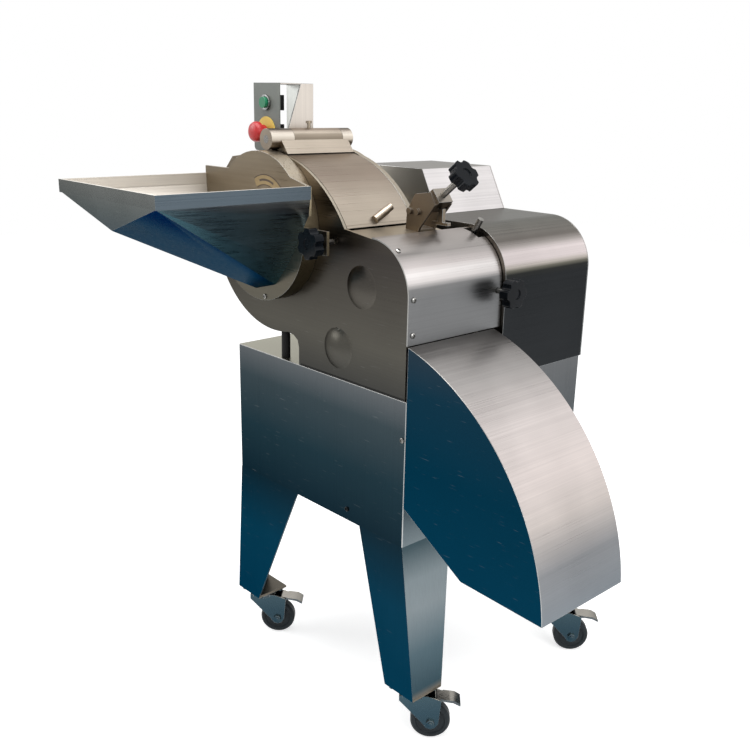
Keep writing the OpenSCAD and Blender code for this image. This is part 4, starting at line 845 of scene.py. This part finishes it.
# %% Dark strip for the shadow gap at the plate's foot
SHADOW_STRIP_LEFT, SHADOW_STRIP_RIGHT = -302.0, -6.0
SHADOW_STRIP_DEPTH, SHADOW_STRIP_HEIGHT, SHADOW_STRIP_PROUD = 5.0, 4.0, 1.2
bpy.ops.object.select_all(action="DESELECT")
shadow_strip_centre = spot((SHADOW_STRIP_LEFT + SHADOW_STRIP_RIGHT) / 2, (SHADOW_STRIP_DEPTH - SHADOW_STRIP_PROUD) / 2, SHADOW_STRIP_HEIGHT / 2)
bpy.ops.mesh.primitive_cube_add(size=1, location=shadow_strip_centre)
shadow_strip = bpy.context.active_object
shadow_strip.name = "foot_seal"
shadow_strip.scale = ((SHADOW_STRIP_RIGHT - SHADOW_STRIP_LEFT) * MM, (SHADOW_STRIP_DEPTH + SHADOW_STRIP_PROUD) * MM, SHADOW_STRIP_HEIGHT * MM)
bpy.ops.object.transform_apply(location=True, rotation=True, scale=True)
select_faces(shadow_strip, lambda face: face.normal.y < -0.9)
bpy.ops.mesh.bevel(offset=1.0 * MM, segments=3, affect="EDGES", clamp_overlap=True)
bpy.ops.object.mode_set(mode="OBJECT")
# Black rubber as painted shade for the gap under the front plate.
shadow_strip.data.materials.append(buffer_rubber)
smooth(shadow_strip)
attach(shadow_strip, "base")
print("foot seal", round((SHADOW_STRIP_RIGHT - SHADOW_STRIP_LEFT) * MM, 3), "m long")

# %% [markdown]
# ## Turning-direction arrow
# A small film on the door plate shows which way the impeller turns: a bean of gold film with a brown rim
# and a brown curved line. All three are bands of one circle. A circle is cut down to an arc, the arc is
# extruded and scaled about the circle's centre to make a band, the corners are rounded, and a thin
# extrusion gives the film its thickness.

# %% Bands of film
ARROW_CENTRE = spot(-366, door_front, 300)
FILM_THICKNESS = 0.25 * MM


def film_band(name, radius, width, start, end, lift, material, rounded):
    """A band of film on the door plate, from one angle to another, lifted off the plate by a step."""
    centre = ARROW_CENTRE + Vector((0, -lift * MM, 0))
    bpy.ops.object.select_all(action="DESELECT")
    bpy.ops.mesh.primitive_circle_add(
        vertices=180, radius=(radius - width / 2) * MM, location=centre, rotation=(math.pi / 2, 0, 0)
    )
    piece = bpy.context.active_object
    piece.name = name
    bpy.ops.object.transform_apply(location=True, rotation=True, scale=True)
    select_none(piece, "VERT")
    for vertex in piece.data.vertices:
        offset = vertex.co - centre
        angle = math.degrees(math.atan2(offset.z, offset.x)) % 360
        vertex.select = not start <= angle <= end
    bpy.ops.object.mode_set(mode="EDIT")
    bpy.ops.mesh.delete(type="VERT")
    bpy.ops.mesh.select_all(action="SELECT")
    bpy.ops.mesh.extrude_region_move()
    grow = (radius + width / 2) / (radius - width / 2)
    bpy.ops.transform.resize(value=(grow, grow, grow), center_override=centre)
    bpy.ops.object.mode_set(mode="OBJECT")
    if rounded:
        round_ends(piece, width)
    give_thickness(piece)
    piece.data.materials.append(material)
    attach(piece, "door")
    return piece


def round_ends(piece, width):
    """Rounds the four corners of a flat band."""
    select_none(piece, "VERT")
    uses = [0] * len(piece.data.vertices)
    for face in piece.data.polygons:
        for index in face.vertices:
            uses[index] += 1
    for vertex in piece.data.vertices:
        vertex.select = uses[vertex.index] == 1
    bpy.ops.object.mode_set(mode="EDIT")
    bpy.ops.mesh.bevel(offset=0.48 * width * MM, segments=6, affect="VERTICES", clamp_overlap=False)
    bpy.ops.object.mode_set(mode="OBJECT")


def give_thickness(piece):
    """Makes a flat film a thin solid that stands off the plate."""
    only(piece)
    bpy.ops.object.mode_set(mode="EDIT")
    bpy.ops.mesh.select_all(action="SELECT")
    bpy.ops.mesh.extrude_region_move(TRANSFORM_OT_translate={"value": (0, -FILM_THICKNESS, 0)})
    bpy.ops.mesh.select_all(action="SELECT")
    bpy.ops.mesh.normals_make_consistent(inside=False)
    bpy.ops.object.mode_set(mode="OBJECT")


film_band("arrow_rim", 62, 21, 44, 122, 0.0, brown_ink, True)
film_band("arrow_film", 62, 17, 46, 120, 0.2, gold_film, True)
film_band("arrow_line", 62, 4, 62, 108, 0.4, brown_ink, False)
print("three bands of film")

# %% [markdown]
# ## Finish of the inner pieces
# Knives, shafts, gears, pulleys, belts and the motor sit inside the covers. Their CAD shape is already the
# real one, so they keep it and only get a finish, by assigning a material to the node's own slot.

# %% Inner pieces
inner_finish = {
    blade_steel: ("slicing_knife", "disc_knives"),
    shaft_steel: (
        "gate_pin", "door_pin", "impeller_shaft", "disc_spindle", "cross_rotor", "stripper_comb",
        "bearings", "spindle_gear", "cross_gear", "driven_pulley", "spindle_pulley", "motor_rotor",
    ),
    belt_rubber: ("drive_belt", "transfer_belt"),
    motor_paint: ("motor",),
}
for finish, nodes in inner_finish.items():
    for node in nodes:
        cad_nodes[node].data.materials.clear()
        cad_nodes[node].data.materials.append(finish)
print("inner pieces:", sum(len(nodes) for nodes in inner_finish.values()))

# %% [markdown]
# ## Studio
# The floor is plain and pale. A white page behind the machine comes from the world and the floor seen by
# camera rays, and mirror rays see the same white, so the metal shows it too. Soft area lamps above and in
# front give the machine its shading and a soft shadow on the floor.

# %% Floor and world
FLOOR_SIZE = 14
FLOOR_GLOW = 0.62
SKY_LIGHT = 0.45
bpy.ops.object.select_all(action="DESELECT")
bpy.ops.mesh.primitive_plane_add(size=FLOOR_SIZE, location=(0, 0, 0))
floor = bpy.context.active_object
floor.name = "studio_floor"


def seen_directly(nodes, links):
    """1 for rays from the camera, a mirror or glass, else 0."""
    rays = nodes.new("ShaderNodeLightPath")
    first = nodes.new("ShaderNodeMath")
    first.operation = "MAXIMUM"
    links.new(rays.outputs["Is Camera Ray"], first.inputs[0])
    links.new(rays.outputs["Is Glossy Ray"], first.inputs[1])
    second = nodes.new("ShaderNodeMath")
    second.operation = "MAXIMUM"
    links.new(first.outputs[0], second.inputs[0])
    links.new(rays.outputs["Is Transmission Ray"], second.inputs[1])
    return second.outputs[0]


def pale_floor():
    """A pale floor that keeps a soft shadow and is otherwise as white as the page."""
    tree = Tree("pale_floor")
    patch = tree.noise((1.5,) * 3, detail=2.0)
    pale = tree.ramp(patch, 0.3, 0.7, [(0.3, tone(236, 236, 236)), (0.7, tone(240, 240, 240))])
    tree.put(tree.shader.inputs["Base Color"], pale)
    tree.shader.inputs["Roughness"].default_value = 0.9
    tree.shader.inputs["Specular IOR Level"].default_value = 0.0
    tree.shader.inputs["Emission Color"].default_value = (1, 1, 1, 1)
    glow = tree.maths("MULTIPLY", seen_directly(tree.nodes, tree.links), FLOOR_GLOW)
    tree.put(tree.shader.inputs["Emission Strength"], glow)
    return tree.material


floor.data.materials.append(pale_floor())

world = bpy.data.worlds.new("studio_world")
bpy.context.scene.world = world
world.use_nodes = True
world_nodes, world_links = world.node_tree.nodes, world.node_tree.links
world_nodes.clear()
page = world_nodes.new("ShaderNodeBackground")
page.inputs["Color"].default_value = (1, 1, 1, 1)
sky_level = world_nodes.new("ShaderNodeMapRange")
world_links.new(seen_directly(world_nodes, world_links), sky_level.inputs[0])
sky_level.inputs[3].default_value = SKY_LIGHT
sky_level.inputs[4].default_value = 1.0
world_links.new(sky_level.outputs[0], page.inputs["Strength"])
world_output = world_nodes.new("ShaderNodeOutputWorld")
world_links.new(page.outputs[0], world_output.inputs["Surface"])
print("floor and world ready")

# %% Lamps


def soft_lamp(name, place, aim, size, power):
    """A square area lamp at a place, aimed at a point."""
    data = bpy.data.lights.new(name, "AREA")
    data.size = size
    data.energy = power
    lamp = bpy.data.objects.new(name, data)
    lamp.location = place
    lamp.rotation_euler = (Vector(aim) - Vector(place)).to_track_quat("-Z", "Y").to_euler()
    bpy.context.scene.collection.objects.link(lamp)
    return lamp


middle = (cad_low + cad_high) / 2
soft_lamp("top_lamp", (0.2, -0.3, 3.2), middle, 2.4, 70)
soft_lamp("left_lamp", (-2.6, -2.2, 2.4), middle, 1.8, 45)
soft_lamp("right_lamp", (2.8, -0.4, 2.0), middle, 1.6, 35)
print("three soft lamps")

# %% [markdown]
# ## Camera
# The picture was taken from the front right, a little above the machine, with a slight roll. The camera is
# placed from the cabinet's front right corner at deck height, which is the easiest point to find again.

# %% Camera at the picture's angle
CAMERA_OFFSET = Vector((1.0905, -1.0873, 0.5148))
HEADING, TILT, ROLL = 47.2, 73.2, 1.2
camera_data = bpy.data.cameras.new("picture_camera")
camera_data.sensor_width = 36.0
camera_data.lens = 43.944
camera_data.clip_end = 50.0
camera = bpy.data.objects.new("picture_camera", camera_data)
bpy.context.scene.collection.objects.link(camera)
camera.rotation_mode = "QUATERNION"
camera.location = Vector((RIGHT_FACE, FRONT_FACE, DECK)) + CAMERA_OFFSET
turn = Matrix.Rotation(math.radians(HEADING), 3, "Z") @ Matrix.Rotation(math.radians(TILT), 3, "X")
camera.rotation_quaternion = (turn @ Matrix.Rotation(math.radians(ROLL), 3, "Z")).to_quaternion()
bpy.context.scene.camera = camera
bpy.context.scene.view_settings.view_transform = "Standard"
print("camera at", [round(value, 3) for value in camera.location])
